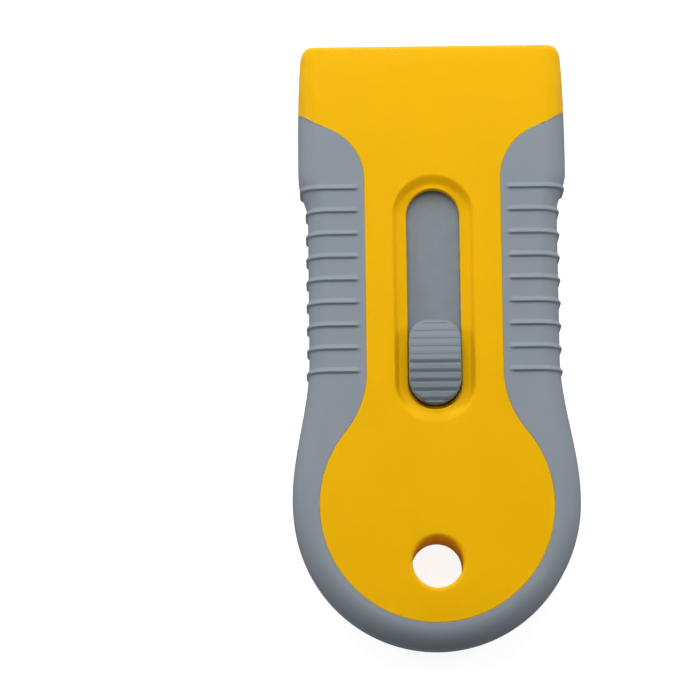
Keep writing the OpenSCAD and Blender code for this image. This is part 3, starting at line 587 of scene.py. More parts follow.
def shape_tree(name, **kinds):
    """A group that changes a mesh. kinds are its named inputs."""
    named = [(key.replace("_", " "), kind, None) for key, kind in kinds.items()]
    inputs = [("Geometry", "Geometry", None)] + named + [("Material", "Material", None)]
    return new_group(name, "GeometryNodeTree", inputs, [("Geometry", "Geometry")])


def made_real(tree, shape, given, back):
    """Ends a group that changes a mesh: copies become real and get the material."""
    real = added(tree, "GeometryNodeRealizeInstances", [shape]).outputs[0]
    paint = added(tree, "GeometryNodeSetMaterial", {"Geometry": real, "Material": given["Material"]})
    tree.links.new(paint.outputs[0], back[0])
    return tree


def ridges_tree():
    """Nodes that raise ribs across a surface, or sink grooves: smooth ridges with two flanks and a round inner end."""
    kinds = {"First_rib": "Float", "Pitch": "Float", "Count": "Int", "Upper_flank": "Float", "Lower_flank": "Float"}
    tree, given, back = shape_tree("Raised ribs", **kinds, Height="Float")

    def do(op, *inputs):
        return calc(tree, op, *inputs)

    def note(name, kind):
        return added(tree, "GeometryNodeInputNamedAttribute", {"Name": name}, data_type=kind).outputs[0]

    place = added(tree, "GeometryNodeInputPosition").outputs[0]
    y = added(tree, "ShaderNodeSeparateXYZ", [place]).outputs["Y"]
    first, pitch, upper = given["First rib"], given["Pitch"], given["Upper flank"]
    index = do("ROUND", do("DIVIDE", do("SUBTRACT", first, y), pitch))
    index = do("MINIMUM", do("MAXIMUM", index, 0.0), do("SUBTRACT", given["Count"], 1.0))
    off = do("SUBTRACT", y, do("SUBTRACT", first, do("MULTIPLY", index, pitch)))
    above = do("DIVIDE", do("MAXIMUM", off, 0.0), upper)
    below = do("DIVIDE", do("MINIMUM", off, 0.0), given["Lower flank"])
    past = do("DIVIDE", do("MAXIMUM", note("inner", "FLOAT"), 0.0), upper)
    far = do("ADD", do("POWER", do("ADD", above, below), 2.0), do("POWER", past, 2.0))
    turn = do("MULTIPLY", do("MINIMUM", do("SQRT", far), 1.0), math.pi)
    lift = do("MULTIPLY", do("MULTIPLY", do("ADD", do("COSINE", turn), 1.0), 0.5), given["Height"])
    way = added(tree, "ShaderNodeVectorMath", {0: note("out", "FLOAT_VECTOR"), "Scale": lift}, operation="SCALE")
    moves = {"Geometry": given["Geometry"], "Offset": way.outputs[0]}
    return made_real(tree, added(tree, "GeometryNodeSetPosition", moves).outputs[0], given, back)


def copies_tree():
    """Nodes that set a copy of a piece on every point of a mesh."""
    tree, given, back = shape_tree("Copies on points", Piece="Object", Turn_step="Float")
    piece = added(tree, "GeometryNodeObjectInfo", [given["Piece"]]).outputs["Geometry"]
    index = added(tree, "GeometryNodeInputIndex").outputs[0]
    turn = calc(tree, "MULTIPLY", index, given["Turn step"])
    angle = added(tree, "ShaderNodeCombineXYZ", {"Z": turn}).outputs[0]
    spots = {"Points": given["Geometry"], "Instance": piece, "Rotation": angle}
    return made_real(tree, added(tree, "GeometryNodeInstanceOnPoints", spots).outputs[0], given, back)


def grown(obj, tree, **values):
    """Runs a group on obj with the given inputs, and keeps the result as obj's own mesh."""
    step = obj.modifiers.new("grown", "NODES")
    step.node_group = tree
    slots = {item.name: item.identifier for item in tree.interface.items_tree if item.in_out == "INPUT"}
    for key, value in values.items():
        step[slots[key.replace("_", " ")]] = value
    return applied(obj)


def colour(r, g, b):
    """Linear colour from the eight-bit values that it shows as."""
    return tuple(((c / 255 + 0.055) / 1.055) ** 2.4 if c > 10 else c / 255 / 12.92 for c in (r, g, b)) + (1.0,)


SURFACE = (("Color", "Color"), ("Roughness", "Float"), ("Normal", "Vector"))


def noise(tree, place, scale, detail):
    return added(tree, "ShaderNodeTexNoise", {"Vector": place, "Scale": scale, "Detail": detail}).outputs["Fac"]


def surface(tree, back, tint, rough, distance, strength, height):
    """Ends a group for a surface: its colour, its roughness and its bumps."""
    bump = added(tree, "ShaderNodeBump", {"Distance": distance, "Strength": strength, "Height": height})
    for value, slot in zip((tint, rough, bump.outputs[0]), back):
        tree.links.new(value, slot)
    return tree


def moulded_group():
    """Fine moulded grain, slow mottling, paler convex edges and coarser upright walls, for every plastic and rubber.
    The paler edges are partly wear and partly painted highlight.
    """
    inputs = (
        ("Base", "Color", (0.5, 0.5, 0.5, 1)),
        ("Worn", "Color", (0.7, 0.7, 0.7, 1)),
        ("Mottle", "Float", 0.03),
        ("Grain size", "Float", 5000.0),
        ("Grain depth", "Float", 0.3),
        ("Edge wear", "Float", 0.3),
        ("Gloss", "Float", 0.45),
        ("Gloss spread", "Float", 0.05),
        ("Wall grain", "Float", 0.4),
    )
    tree, given, back = new_group("Moulded surface", "ShaderNodeTree", inputs, SURFACE)
    place = added(tree, "ShaderNodeTexCoord").outputs["Object"]
    shape = added(tree, "ShaderNodeNewGeometry").outputs
    shift = mapped(tree, noise(tree, place, 90.0, 3.0), 0.3, 0.7, -1.0, 1.0)
    tone = calc(tree, "ADD", calc(tree, "MULTIPLY", shift, given["Mottle"]), 1.0)
    tint = added(tree, "ShaderNodeVectorMath", {0: given["Base"], "Scale": tone}, operation="SCALE").outputs[0]
    # Painted highlight and wear: a paler colour mixed in on sharp convex edges, found by pointiness and broken up by
    # noise.
    edge = mapped(tree, shape["Pointiness"], 0.515, 0.6)
    broken = calc(tree, "MULTIPLY", edge, noise(tree, place, 700.0, 4.0))
    tint = mixed(tree, calc(tree, "MULTIPLY", broken, given["Edge wear"]), tint, given["Worn"])
    rough = calc(tree, "MULTIPLY_ADD", shift, given["Gloss spread"], given["Gloss"])
    way = added(tree, "ShaderNodeSeparateXYZ", [shape["Normal"]]).outputs["Z"]
    wall = mapped(tree, calc(tree, "ABSOLUTE", way), 0.6, 0.1)
    rough = calc(tree, "MULTIPLY_ADD", wall, given["Wall grain"], rough)
    fine = noise(tree, place, given["Grain size"], 2.0)
    return surface(tree, back, tint, rough, 0.00003, given["Grain depth"], fine)


def ground_group():
    """Fine parallel grinding marks along X, with a few darker stains, for the blade, the spring and the screws."""
    inputs = (
        ("Base", "Color", (0.6, 0.6, 0.6, 1)),
        ("Dark", "Color", (0.4, 0.4, 0.4, 1)),
        ("Marks", "Float", 6000.0),
        ("Mark depth", "Float", 0.3),
        ("Gloss", "Float", 0.32),
    )
    tree, given, back = new_group("Ground steel", "ShaderNodeTree", inputs, SURFACE)
    place = added(tree, "ShaderNodeTexCoord").outputs["Object"]
    stretched = added(tree, "ShaderNodeMapping", {"Vector": place, "Scale": (0.02, 1.0, 1.0)}).outputs[0]
    marks = noise(tree, stretched, given["Marks"], 3.0)
    ramp = mapped(tree, calc(tree, "MULTIPLY", marks, noise(tree, place, 240.0, 5.0)), 0.12, 0.4)
    tint = mixed(tree, ramp, given["Dark"], given["Base"])
    rough = calc(tree, "MULTIPLY_ADD", ramp, -0.04, given["Gloss"])
    return surface(tree, back, tint, rough, 0.00001, given["Mark depth"], marks)


MOULDED, GROUND = moulded_group(), ground_group()


def surfaced(name, group, **look):
    """A material whose colour, roughness and bumps come from a shared group, and its shader."""
    mat = bpy.data.materials.new(name)
    mat.use_nodes = True
    tree = mat.node_tree
    shader = tree.nodes["Principled BSDF"]
    skin = added(tree, "ShaderNodeGroup", {key.replace("_", " "): look[key] for key in look}, node_tree=group)
    for key, slot in (("Color", "Base Color"), ("Roughness", "Roughness"), ("Normal", "Normal")):
        tree.links.new(skin.outputs[key], shader.inputs[slot])
    return mat, shader


def moulded(name, base, worn, gloss, grain, depth, mottle=0.03, wear=0.3, **sockets):
    """A plastic or rubber with the shared moulded surface. sockets go to the shader itself. The paler edges' colour
    and amount are partly wear and partly painted highlight.
    """
    look = {"Mottle": mottle, "Grain_size": grain, "Grain_depth": depth, "Edge_wear": wear, "Gloss": gloss}
    mat, shader = surfaced(name, MOULDED, Base=base, Worn=worn, **look)
    for key, value in sockets.items():
        shader.inputs[key.replace("_", " ")].default_value = value
    return mat


def ground(name, base, dark, gloss, marks=6000.0):
    """A steel with the shared grinding marks."""
    mat, shader = surfaced(name, GROUND, Base=base, Dark=dark, Marks=marks, Gloss=gloss)
    shader.inputs["Metallic"].default_value = 1.0
    return mat


# The yellow's high edge amount paints pale highlights along its sharp rims, such as the slot's.
YELLOW = moulded(
    "yellow housing", colour(245, 186, 6), colour(255, 204, 50), gloss=0.42, grain=3800.0, depth=0.35,
    mottle=0.02, wear=0.7,
    Specular_IOR_Level=0.25,
    Specular_Tint=(1.0, 0.75, 0.15, 1.0),
    Subsurface_Weight=0.2,
    Subsurface_Radius=(1.0, 0.25, 0.02),
    Subsurface_Scale=0.0012,
)
SOFT = moulded(
    "soft grey grip", colour(140, 149, 158), colour(168, 175, 184), gloss=0.62, grain=5200.0, depth=0.3, mottle=0.03,
    Specular_IOR_Level=0.22,
)
HOLDER = moulded(
    "grey holder plastic", colour(112, 122, 130), colour(148, 157, 164), gloss=0.42, grain=3000.0, depth=0.15,
)
BUTTON = moulded(
    "grey button plastic", colour(126, 136, 144), colour(166, 174, 182), gloss=0.46, grain=4200.0, depth=0.2,
    Specular_IOR_Level=0.3,
)
BLADE = ground("ground blade steel", colour(152, 152, 151), colour(134, 134, 135), gloss=0.34)


def lit_ground_edge(mat, from_y, tone, line, fold_shade_half=0.09):
    """Makes the blade brighter from one line on, where its edge is ground, with a dark line where that begins. The
    brighter band is partly the ground finish and partly painted light on a bevel that the flat blade lacks, and the
    dark line is painted shade at the bevel's fold.
    """
    tree = mat.node_tree
    base = next(node for node in tree.nodes if node.type == "GROUP").inputs["Base"]
    place = added(tree, "ShaderNodeTexCoord").outputs["Object"]
    y = added(tree, "ShaderNodeSeparateXYZ", [place]).outputs["Y"]
    past = calc(tree, "GREATER_THAN", y, from_y * MM)
    near = calc(tree, "COMPARE", y, from_y * MM, fold_shade_half * MM)
    lit_band = mixed(tree, past, base.default_value[:], tone)
    tree.links.new(mixed(tree, near, lit_band, line), base)


# Painted light: the ground bevel is painted brighter, with a painted shade line where it begins.
lit_ground_edge(BLADE, 48.2, colour(158, 158, 158), colour(80, 80, 82))
SPRING = ground("spring steel", colour(160, 160, 165), colour(125, 125, 132), gloss=0.3)
SCREW = ground("zinc plated steel", colour(172, 173, 176), colour(140, 140, 145), gloss=0.36, marks=2500.0)


def dress(obj, body, slot, material, *replaced):
    """Gives a made piece its material and body, and hides the nodes that it stands for. The slot is not used."""
    obj.data.materials.clear()
    obj.data.materials.append(material)
    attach(obj, body)
    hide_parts(*replaced)


def rounded_copy(node, name, edge_w):
    """A copy of a node's mesh with merged points, flat faces joined and small rounded edges."""
    work = bmesh.new()
    work.from_mesh(nodes[node].data)
    work.transform(Matrix.Scale(1 / MM, 4))
    bmesh.ops.remove_doubles(work, verts=work.verts, dist=1e-4)
    bmesh.ops.dissolve_limit(work, angle_limit=math.radians(1), verts=work.verts, edges=work.edges)
    sharp = [e for e in work.edges if len(e.link_faces) == 2 and e.calc_face_angle(0) > math.radians(35)]
    bmesh.ops.bevel(work, geom=sharp, offset=edge_w, segments=2, profile=0.5, affect="EDGES", clamp_overlap=True)
    bmesh.ops.triangulate(work, faces=[f for f in work.faces if len(f.verts) > 4])
    work.transform(Matrix.Scale(MM, 4))
    mesh = bpy.data.meshes.new(name)
    work.to_mesh(mesh)
    work.free()
    obj = in_scene(name, mesh)
    shade(obj, 12)
    return obj


# Sizes of the housing's inside
REAR_WALL, BED_Z, LIP_LEN = 3.0, 6.35, 5.0
POCKET_HALF, REAR_POCKET_HALF, POCKET_BACK_Y, POCKET_Y = 20.2, 19.14, 28.8, 56
HOLLOW_INSET, HOLLOW_GAP, HOLE_WALL = 3.3, 0.15, 2
SCREW_PLACES = [(-9.5, 19.45), (9.5, 19.45), (-15.5, -28.95), (15.5, -28.95)]
POST_R, PILOT_R, PILOT_Z, SEAT_R, SEAT_Z, SHANK_R = 2.38, 0.93, 11.3, 2.3, 2.0, 1.25
RAIL_XS, RAIL_W, RAIL_Y = (-7.95, 6.95), 1, 16.8
TOOTH_Y, TOOTH_HALF, TOOTH_HALF_LEN, TOOTH_T, TOOTH_TOP_Z = -2.65, 5.6, 0.8, 1.2, 12.15
NOTCH_STEP, NOTCH_COUNT, NOTCH_GAP = 3.75, 7, 0.25
GRID_STEP = 1.1


def body_points(keep_out):
    """Points for a panel's mesh: rings round its rims, and a loose grid between them."""
    pts = []
    for e in RINGS:
        ring = body_ring(e)
        pts += ring + [(-x, y) for x, y in ring]
    for d in (0.04, 0.12, 0.24, 0.4, 0.58, 0.8):
        pts += [(x, MOUTH_Y - d) for x in np.linspace(-19.5, 19.5, 40)]
    xs, ys = np.meshgrid(np.arange(-22.0, 22.5, GRID_STEP), np.arange(-51.5, 53.0, GRID_STEP))
    grid = np.column_stack([xs.ravel() + 0.3 * (np.round(ys.ravel() / GRID_STEP) % 2), ys.ravel()])
    grid = grid[inset_at(grid[:, 0], grid[:, 1]) > EDGE_R + 0.5]
    return pts + [tuple(p) for p in grid if not keep_out(*p)]


def near_hole(x, y):
    return hole_distance(x, y) < HOLE_RIM + 0.4


def near_front(x, y):
    return near_hole(x, y) or slot_distance(x, y) < DISH_MARGIN + 0.5


outline = closed_outline(body_ring(0.0))
hole = circle(0, HOLE_Y, HOLE_R, 96)
slot = stadium(SLOT_BACK_Y, SLOT_Y, SLOT_HALF)
hole_rings = [
    p for d in (0.03, 0.1, 0.2, 0.35, 0.5, 0.7, 0.85, 1.0) for p in circle(0, HOLE_Y, HOLE_R + d * HOLE_RIM, 96)
]
slot_rings = [
    p
    for d in (0.02, 0.06, 0.12, 0.2, 0.3, 0.5, 0.75, 1.0, 1.15, 1.3, 1.45, 1.6, 1.75, 1.9, 2.05, 2.2, 2.35, 2.5, 2.7)
    for p in stadium(SLOT_BACK_Y - d, SLOT_Y + d, SLOT_HALF + d)
]
front_points = body_points(near_front) + slot_rings + hole_rings
front = plate("front_housing", outline, [slot, hole], front_points, face_z, PARTING_Z, PARTING_CHAMFER)
pairs = sections()
rib_ys = [float(y) for y in np.arange(RIB_FIRST_Y + 1.2, RIB_FIRST_Y - RIB_COUNT * RIB_PITCH + 2.6, -0.14)]
rib_pairs = sections(rib_ys)


def hollow(z0, z1, standing=()):
    """The housing's hollow, with the screw posts and the wall round the hanging hole left standing."""
    ys = np.linspace(WAIST_Y - 0.5, HEEL_MID_Y, 40)
    side = [(float(body_half(y)) - HOLLOW_INSET, y) for y in ys]
    right = [(side[0][0], POCKET_BACK_Y + HOLLOW_GAP)] + side + heel_arc(HOLLOW_INSET, 24, 1)
    posts = [circle(x, y, POST_R, 24) for x, y in SCREW_PLACES]
    wall = circle(0, HOLE_Y, HOLE_R + HOLE_WALL, 48)
    return prism("hollow", mirrored(right), z0, z1, posts + [wall] + list(standing))


def at_screws(name, r, n, z0, z1):
    """Round solids at the screws' places, as one object."""
    return joined(*[prism(name, circle(x, y, r, n), z0, z1) for x, y in SCREW_PLACES])


def ledge():
    """A thin ledge inside the slot's rear end, which narrows away round both of its sides."""
    y0, root = SLOT_BACK_Y + SLOT_HALF, SLOT_HALF + LEDGE_ROOT
    turns = np.linspace(math.pi, 2 * math.pi, 49)
    outer = [(root * math.cos(a), y0 + root * math.sin(a)) for a in turns]
    inner = [(SLOT_HALF * math.cos(a), y0 + LEDGE_W + SLOT_HALF * math.sin(a)) for a in turns[::-1]]
    return prism("ledge", outer + inner, CEILING_Z + LEDGE_LIFT, LEDGE_Z)


rails = [rectangle(x, x + RAIL_W, SLOT_BACK_Y, RAIL_Y) for x in RAIL_XS]
NOTCH_HALF, NOTCH_HALF_LEN = TOOTH_HALF + NOTCH_GAP, TOOTH_HALF_LEN + NOTCH_GAP
NOTCH_ZS = CEILING_Z - 0.3, TOOTH_TOP_Z + NOTCH_GAP
notches = [
    block("notch", -NOTCH_HALF, NOTCH_HALF, y - NOTCH_HALF_LEN, y + NOTCH_HALF_LEN, *NOTCH_ZS)
    for y in (TOOTH_Y + NOTCH_STEP * i for i in range(NOTCH_COUNT))
]
cut(
    front,
    loft("recess", recess_rows(pairs, 1)),
    block("pocket", -POCKET_HALF, POCKET_HALF, POCKET_BACK_Y, POCKET_Y, BED_Z, CEILING_Z),
    hollow(PARTING_Z - 1, CEILING_Z, rails),
    joined(*notches),
    at_screws("pilot", PILOT_R, 24, PARTING_Z - 0.3, PILOT_Z),
)
cut(front, ledge(), how="UNION")
shade(front, 32)
dress(front, "housing", "housing_plastic", YELLOW, "front_shell")

rear_points = body_points(near_hole) + hole_rings
rear = plate("rear_housing", outline, [hole], rear_points, rear_z, 0.0, PARTING_CHAMFER)
for v in rear.data.vertices:
    v.co.z = PARTING_Z * MM - v.co.z
rear.data.flip_normals()
REAR_POCKET_YS = WAIST_Y - 0.3, MOUTH_Y - LIP_LEN
cut(
    rear,
    loft("recess", recess_rows(pairs, -1)),
    hollow(REAR_WALL, PARTING_Z + 1),
    block("pocket", -REAR_POCKET_HALF, REAR_POCKET_HALF, *REAR_POCKET_YS, REAR_WALL, PARTING_Z + 1),
    block("pocket", -POCKET_HALF, POCKET_HALF, POCKET_BACK_Y, POCKET_Y, BED_Z, PARTING_Z + 1),
    at_screws("seat", SEAT_R, 32, -1, SEAT_Z),
    at_screws("shank", SHANK_R, 24, SEAT_Z - 0.5, PARTING_Z + 1),
)
shade(rear, 32)
dress(rear, "housing", "housing_plastic", YELLOW, "rear_shell")

# Soft grips with their ribs
RIDGES = ridges_tree()


def ridged(obj, material, count, first, pitch, upper, lower, height):
    """Raises count ribs on obj, or sinks grooves where the height is under 0."""
    lengths = {"First_rib": first, "Pitch": pitch, "Upper_flank": upper, "Lower_flank": lower, "Height": height}
    return grown(obj, RIDGES, Count=count, Material=material, **{key: lengths[key] * MM for key in lengths})


for name, side, node in (("front_soft_grip", 1, "front_grip"), ("rear_soft_grip", -1, "rear_grip")):
    rows, inner, out = grip_rows(rib_pairs, side)
    grip = noted(loft(name, rows), inner, out)
    ridged(grip, SOFT, RIB_COUNT, RIB_FIRST_Y, RIB_PITCH, RIB_UPPER, RIB_LOWER, RIB_H)
    shade(grip, 40)
    dress(grip, "housing", "soft_grip", SOFT, node)

# Thumb button: a bowed top with steps that fall away from its middle, a rounded rim and a lock tooth on each side
BUTTON_HALF, BUTTON_R, BUTTON_BACK_Y, BUTTON_Y = 4.65, 3.5, -11.05, 4.05
BUTTON_FOOT_Z, BUTTON_CHAMFER, BUTTON_TOP_Z, CROWN_Z, CROWN, BUTTON_RIM = 8.4, 0.2, 13, 15.4, 0.7, 0.45
# Where the rear arc ends and the front arcs begin, and how far the front arcs' centres lie off the middle
BUTTON_ARCS = BUTTON_BACK_Y + BUTTON_HALF, BUTTON_Y - BUTTON_R, BUTTON_HALF - BUTTON_R
# Steps behind the middle and shallow ones ahead of it: first, pitch, upper and lower flank, height
GROOVES, GROOVE_COUNT = ((-3.95, 1.66, 0.8, 0.16, -0.38), (3.3, 1.4, 0.2, 0.9, -0.06)), 5


def button_outline():
    y0, y1, c = BUTTON_ARCS
    right = [(BUTTON_HALF, y) for y in spread(y0, y1, 0.2)]
    right += [(c + BUTTON_R * math.cos(a), y1 + BUTTON_R * math.sin(a)) for a in np.linspace(0, math.pi / 2, 25)]
    low = [(-BUTTON_HALF * math.cos(a), y0 - BUTTON_HALF * math.sin(a)) for a in np.linspace(0, math.pi, 61)[1:-1]]
    return [(float(x), float(y)) for x, y in right + [(-x, y) for x, y in right[::-1]] + low]


def button_inset(x, y):
    """How far a point lies inside the button's outline."""
    x, y = np.abs(x), np.asarray(y, float)
    y0, y1, c = BUTTON_ARCS
    front = np.where(x > c, BUTTON_R - np.hypot(x - c, y - y1), BUTTON_Y - y)
    return np.where(y < y0, BUTTON_HALF - np.hypot(x, y - y0), np.where(y < y1, BUTTON_HALF - x, front))


def button_z(x, y):
    half = (BUTTON_Y - BUTTON_BACK_Y) / 2
    bow = (half**2 + CROWN**2) / (2 * CROWN)
    middle = (BUTTON_Y + BUTTON_BACK_Y) / 2
    z = CROWN_Z - bow + np.sqrt(bow**2 - (y - middle) ** 2)
    return z - round_off(BUTTON_RIM - button_inset(x, y), BUTTON_RIM)


xs, ys = np.meshgrid(np.arange(-4.2, 4.3, 0.35), np.arange(BUTTON_BACK_Y, BUTTON_Y, 0.06))
grid = np.column_stack([xs.ravel(), ys.ravel()])
grid = grid[button_inset(grid[:, 0], grid[:, 1]) > BUTTON_RIM + 0.05]
edge = button_outline()
rings = [p for d in (0.02, 0.06, 0.12, 0.2, 0.31, 0.44) for p in drawn_in(edge, d)]
top_points = rings + [tuple(p) for p in grid]
button = plate("thumb_slider_button", edge, [], top_points, button_z, BUTTON_FOOT_Z, BUTTON_CHAMFER)
heights = np.array([v.co.z for v in button.data.vertices]) / MM
marks = np.where(heights > BUTTON_TOP_Z, -NO_RIB, NO_RIB) * MM
for groove in GROOVES:
    ridged(noted(button, marks, np.tile((0.0, 0.0, 1.0), (len(marks), 1))), BUTTON, GROOVE_COUNT, *groove)
    for key in ("inner", "out"):
        button.data.attributes.remove(button.data.attributes[key])
TOOTH_YS = TOOTH_Y - TOOTH_HALF_LEN, TOOTH_Y + TOOTH_HALF_LEN
cut(button, block("teeth", -TOOTH_HALF, TOOTH_HALF, *TOOTH_YS, TOOTH_TOP_Z - TOOTH_T, TOOTH_TOP_Z), how="UNION")
shade(button, 45)
dress(button, "button", "button_plastic", BUTTON, "thumb_button")

# Holder: tray and cover, with the blade between them
TRAY_EDGE_W = 0.14
holder_tray = rounded_copy("blade_carrier", "sliding_tray", TRAY_EDGE_W)
dress(holder_tray, "holder", "holder_plastic", HOLDER, "blade_carrier")


def soft_start(v, r):
    """A ramp that starts at 0, with its corner rounded over r to both sides."""
    return np.where(v < -r, 0, np.where(v > r, v, (v + r) ** 2 / (4 * r)))


# Cover over the blade: a sloping nose, and a recess with sloping walls behind it
NOSE_LEN, NOSE_DROP, COVER_EDGE_R, COVER_FOLD_R = 3.8, 0.8, 0.2, 0.12
RECESS_HALF, RECESS_WALL, RECESS_DEPTH, RECESS_REAR = 14.5, 1.4, 0.6, 1.2
# How many times steeper the recess's rear wall is than the others
REAR_STEEPNESS = 3


def cover_z(x, y, low, high):
    """Height of the cover's top. low and high are the corners of its box."""
    fold_y = high[1] - NOSE_LEN
    z = high[2] - soft_start(y - fold_y, COVER_FOLD_R) * NOSE_DROP / NOSE_LEN
    into = np.minimum(RECESS_HALF - np.abs(x), fold_y - y)
    into = np.minimum(into, (y - low[1] - RECESS_REAR) * REAR_STEEPNESS)
    wall = soft_start(into, COVER_FOLD_R) - soft_start(into - RECESS_WALL, COVER_FOLD_R)
    z -= RECESS_DEPTH / RECESS_WALL * wall
    inset = np.minimum(high[0] - np.abs(x), np.minimum(high[1] - y, y - low[1]))
    return z - round_off(COVER_EDGE_R - inset, COVER_EDGE_R)


def cover():
    low, high = (np.array(corner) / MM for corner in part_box("blade_clamp"))
    rim = [0.01, 0.04, 0.09, 0.2]
    xs = {high[0]} | {high[0] - d for d in rim} | set(np.arange(0, 19.5, 0.65))
    xs |= set(np.arange(RECESS_HALF - RECESS_WALL - 0.3, RECESS_HALF + 0.31, 0.1))
    xs = np.array(sorted({round(x, 3) for x in xs | {-x for x in xs}}))
    fold_y, back_y = high[1] - NOSE_LEN, low[1] + RECESS_REAR
    ys = {low[1], high[1]} | {low[1] + d for d in rim} | {high[1] - d for d in rim}
    ys |= set(np.arange(low[1] + 0.5, high[1] - 0.3, 0.5)) | set(np.arange(back_y - 0.1, back_y + 0.7, 0.1))
    ys |= set(np.arange(fold_y - RECESS_WALL - 0.3, fold_y + 0.31, 0.1))
    ys = np.array(sorted({round(y, 3) for y in ys}))
    gx, gy = np.meshgrid(xs, ys)
    nx, ny = len(xs), len(ys)
    top = np.column_stack([gx.ravel(), gy.ravel(), cover_z(gx, gy, low, high).ravel()])
    cells = [j * nx + i for j in range(ny - 1) for i in range(nx - 1)]
    faces = [(k, k + 1, k + nx + 1, k + nx) for k in cells]
    ring = (
        list(range(nx))
        + [j * nx + nx - 1 for j in range(1, ny)]
        + [(ny - 1) * nx + i for i in range(nx - 2, -1, -1)]
        + [j * nx for j in range(ny - 2, 0, -1)]
    )
    foot = top[ring].copy()
    foot[:, 2] = low[2]
    first, n = len(top), len(ring)
    faces += [(ring[i], first + i, first + (i + 1) % n, ring[(i + 1) % n]) for i in range(n)]
    faces.append(tuple(first + i for i in range(n))[::-1])
    return facing_out(mesh_object("blade_cover", np.vstack([top, foot]), faces))


holder_cover = cover()
shade(holder_cover, 40)
dress(holder_cover, "holder", "holder_plastic", HOLDER, "blade_clamp")
for place in nodes["blade"].material_slots:
    place.material = BLADE

# Bowed leaf spring, in its rest shape. The pressed button flattens it to half its height, which is not made here.
LEAF_T, LEAF_KEEP = 0.3, 0.49


def leaf():
    low, high = (np.array(corner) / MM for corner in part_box("lock_spring"))
    half, rise = (high[1] - low[1]) / 2, high[2] - low[2]
    bow = (half**2 + rise**2) / (2 * rise)
    rows = []
    for s in np.linspace(-1, 1, 49):
        section = []
        for r, x0, x1 in ((bow, low[0], high[0]), (bow - LEAF_T, high[0], low[0])):
            a = s * math.acos((bow - rise) / r)
            y, z = (low[1] + high[1]) / 2 + r * math.sin(a), high[2] - bow + r * math.cos(a)
            section += [(x0, y, z), (x1, y, z)]
        rows.append(section)
    return loft("lock_leaf", rows)


lock_leaf = leaf()
shade(lock_leaf, 40)
dress(lock_leaf, "holder", "spring_steel", SPRING, "lock_spring")
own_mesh(lock_leaf)


THREAD_LOW_Z, THREAD_HIGH_Z, THREAD_PITCH = 2.4, 9.6, 0.8
CROSS_HALF, CROSS_ARM, CROSS_Z = 1.1, 0.28, 1.25


def screw_body():
    """A self-tapping screw: pan head with a cross recess, thread ridges and a blunt tip."""
    line = [(0, 0.5), (1.5, 0.5), (1.95, 0.62), (2.1, 0.9), (2.1, 1.9), (2.0, 2.0), (0.95, 2.0)]
    z = THREAD_LOW_Z
    while z < THREAD_HIGH_Z:
        line += [(0.85, z), (1.05, z + 0.28), (1.05, z + 0.36), (0.85, z + 0.64)]
        z += THREAD_PITCH
    line += [(0.8, 10.1), (0.45, 10.9), (0, 11.0)]
    n, points = 32, []
    for r, z in line:
        points += [(0, 0, z)] if r == 0 else [(x, y, z) for x, y in circle(0, 0, r, n)]
    faces = [(0, 1 + (i + 1) % n, 1 + i) for i in range(n)]
    for k in range(len(line) - 3):
        for i in range(n):
            a, b = 1 + k * n + i, 1 + k * n + (i + 1) % n
            faces.append((a, b, b + n, a + n))
    last = len(points) - 1
    faces += [(last, last - n + i, last - n + (i + 1) % n) for i in range(n)]
    screw = facing_out(mesh_object("screw", points, faces))
    for a, b in ((CROSS_HALF, CROSS_ARM), (CROSS_ARM, CROSS_HALF)):
        cut(screw, block("bar", -a, a, -b, b, 0, CROSS_Z))
    shade(screw, 35)
    return screw


screw = screw_body()
screws = mesh_object("housing_screw_set", [(x, y, 0) for x, y in SCREW_PLACES], [])
grown(screws, copies_tree(), Piece=screw, Turn_step=0.9, Material=SCREW)
bpy.data.objects.remove(screw)
dress(screws, "housing", "screw_steel", SCREW, "housing_screws")


def glow(tree, socket, other, seen):
    """Sets a strength to one value for what the camera, mirrors and glass see, and to another for plain light."""
    rays = added(tree, "ShaderNodeLightPath").outputs
    total = rays["Is Camera Ray"]
    for name in ("Is Glossy Ray", "Is Transmission Ray"):
        total = calc(tree, "ADD", total, rays[name], clamp=True)
    tree.links.new(mapped(tree, total, 0.0, 1.0, other, seen), socket)


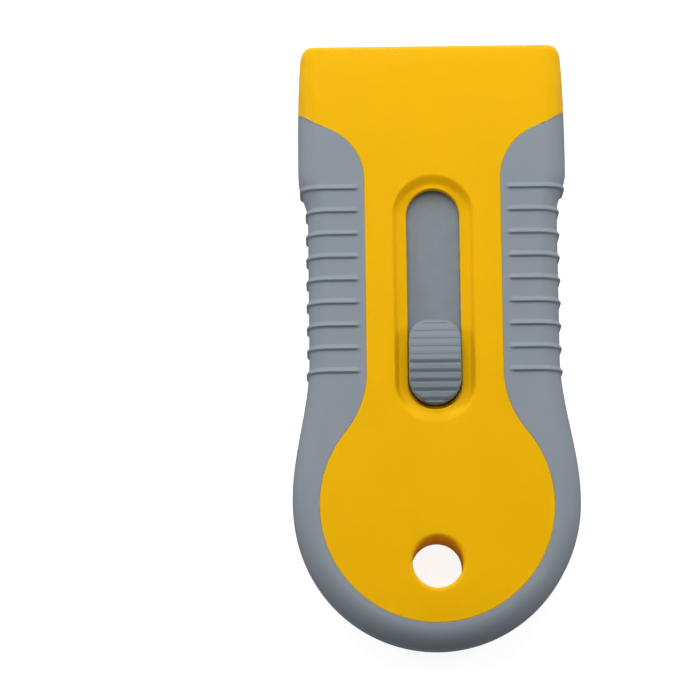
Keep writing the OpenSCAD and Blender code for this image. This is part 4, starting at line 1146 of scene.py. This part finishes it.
# Floor
bpy.ops.mesh.primitive_plane_add(size=4, location=(0, 0, -0.0002))
floor = bpy.context.object
floor.name = "studio_floor"
pale = bpy.data.materials.new("studio floor")
pale.use_nodes = True
shader = pale.node_tree.nodes["Principled BSDF"]
shader.inputs["Base Color"].default_value = (0.4, 0.4, 0.4, 1)
shader.inputs["Roughness"].default_value = 0.9
shader.inputs["Specular IOR Level"].default_value = 0.1
shader.inputs["Emission Color"].default_value = (1, 1, 1, 1)
glow(pale.node_tree, shader.inputs["Emission Strength"], 0.0, 0.88)
floor.data.materials.append(pale)

# Light: a pale room that shows as white, a broad lamp beyond the mouth and a low one at each side
world = bpy.data.worlds.new("studio")
bpy.context.scene.world = world
world.use_nodes = True
room = world.node_tree.nodes["Background"]
room.inputs["Color"].default_value = (1, 1, 1, 1)
glow(world.node_tree, room.inputs["Strength"], 0.19, 1.0)
for name, place, size, power in (
    ("key", (-0.04, 0.48, 0.52), 0.75, 4.35),
    ("left", (-0.6, 0.22, 0.3), 0.3, 1.15),
    ("right", (0.6, 0.22, 0.3), 0.3, 1.15),
):
    light = bpy.data.lights.new(name, "AREA")
    light.shape, light.size, light.energy = "DISK", size, power
    lamp = in_scene(name, light)
    lamp.location = place
    lamp.rotation_euler = (-Vector(place)).to_track_quat("-Z", "Y").to_euler()

# Camera: far above, tilted a little towards the heel. The focal length is in pixels of a picture of twice HALF_PICTURE
TILT, ROLL, AWAY = math.radians(9.3), -0.01186, 0.7
FOCAL_PIXELS, HALF_PICTURE = 3899, 340
AIM = Vector((-0.01684, 0.00175, 0.007))
back = Vector((0, -math.sin(TILT), math.cos(TILT)))
right, up = Vector((1, 0, 0)), Vector((0, math.cos(TILT), math.sin(TILT)))
across = right * math.cos(ROLL) + up * math.sin(ROLL)
upward = up * math.cos(ROLL) - right * math.sin(ROLL)
lens = bpy.data.cameras.new("view")
lens.sensor_width = 36
lens.lens = lens.sensor_width / 2 * FOCAL_PIXELS / HALF_PICTURE
lens.clip_start = 0.05
camera = in_scene("view", lens)
camera.matrix_world = Matrix.Translation(AIM + back * AWAY) @ Matrix((across, upward, back)).transposed().to_4x4()
bpy.context.scene.camera = camera

bpy.context.scene.view_settings.view_transform = "Standard"
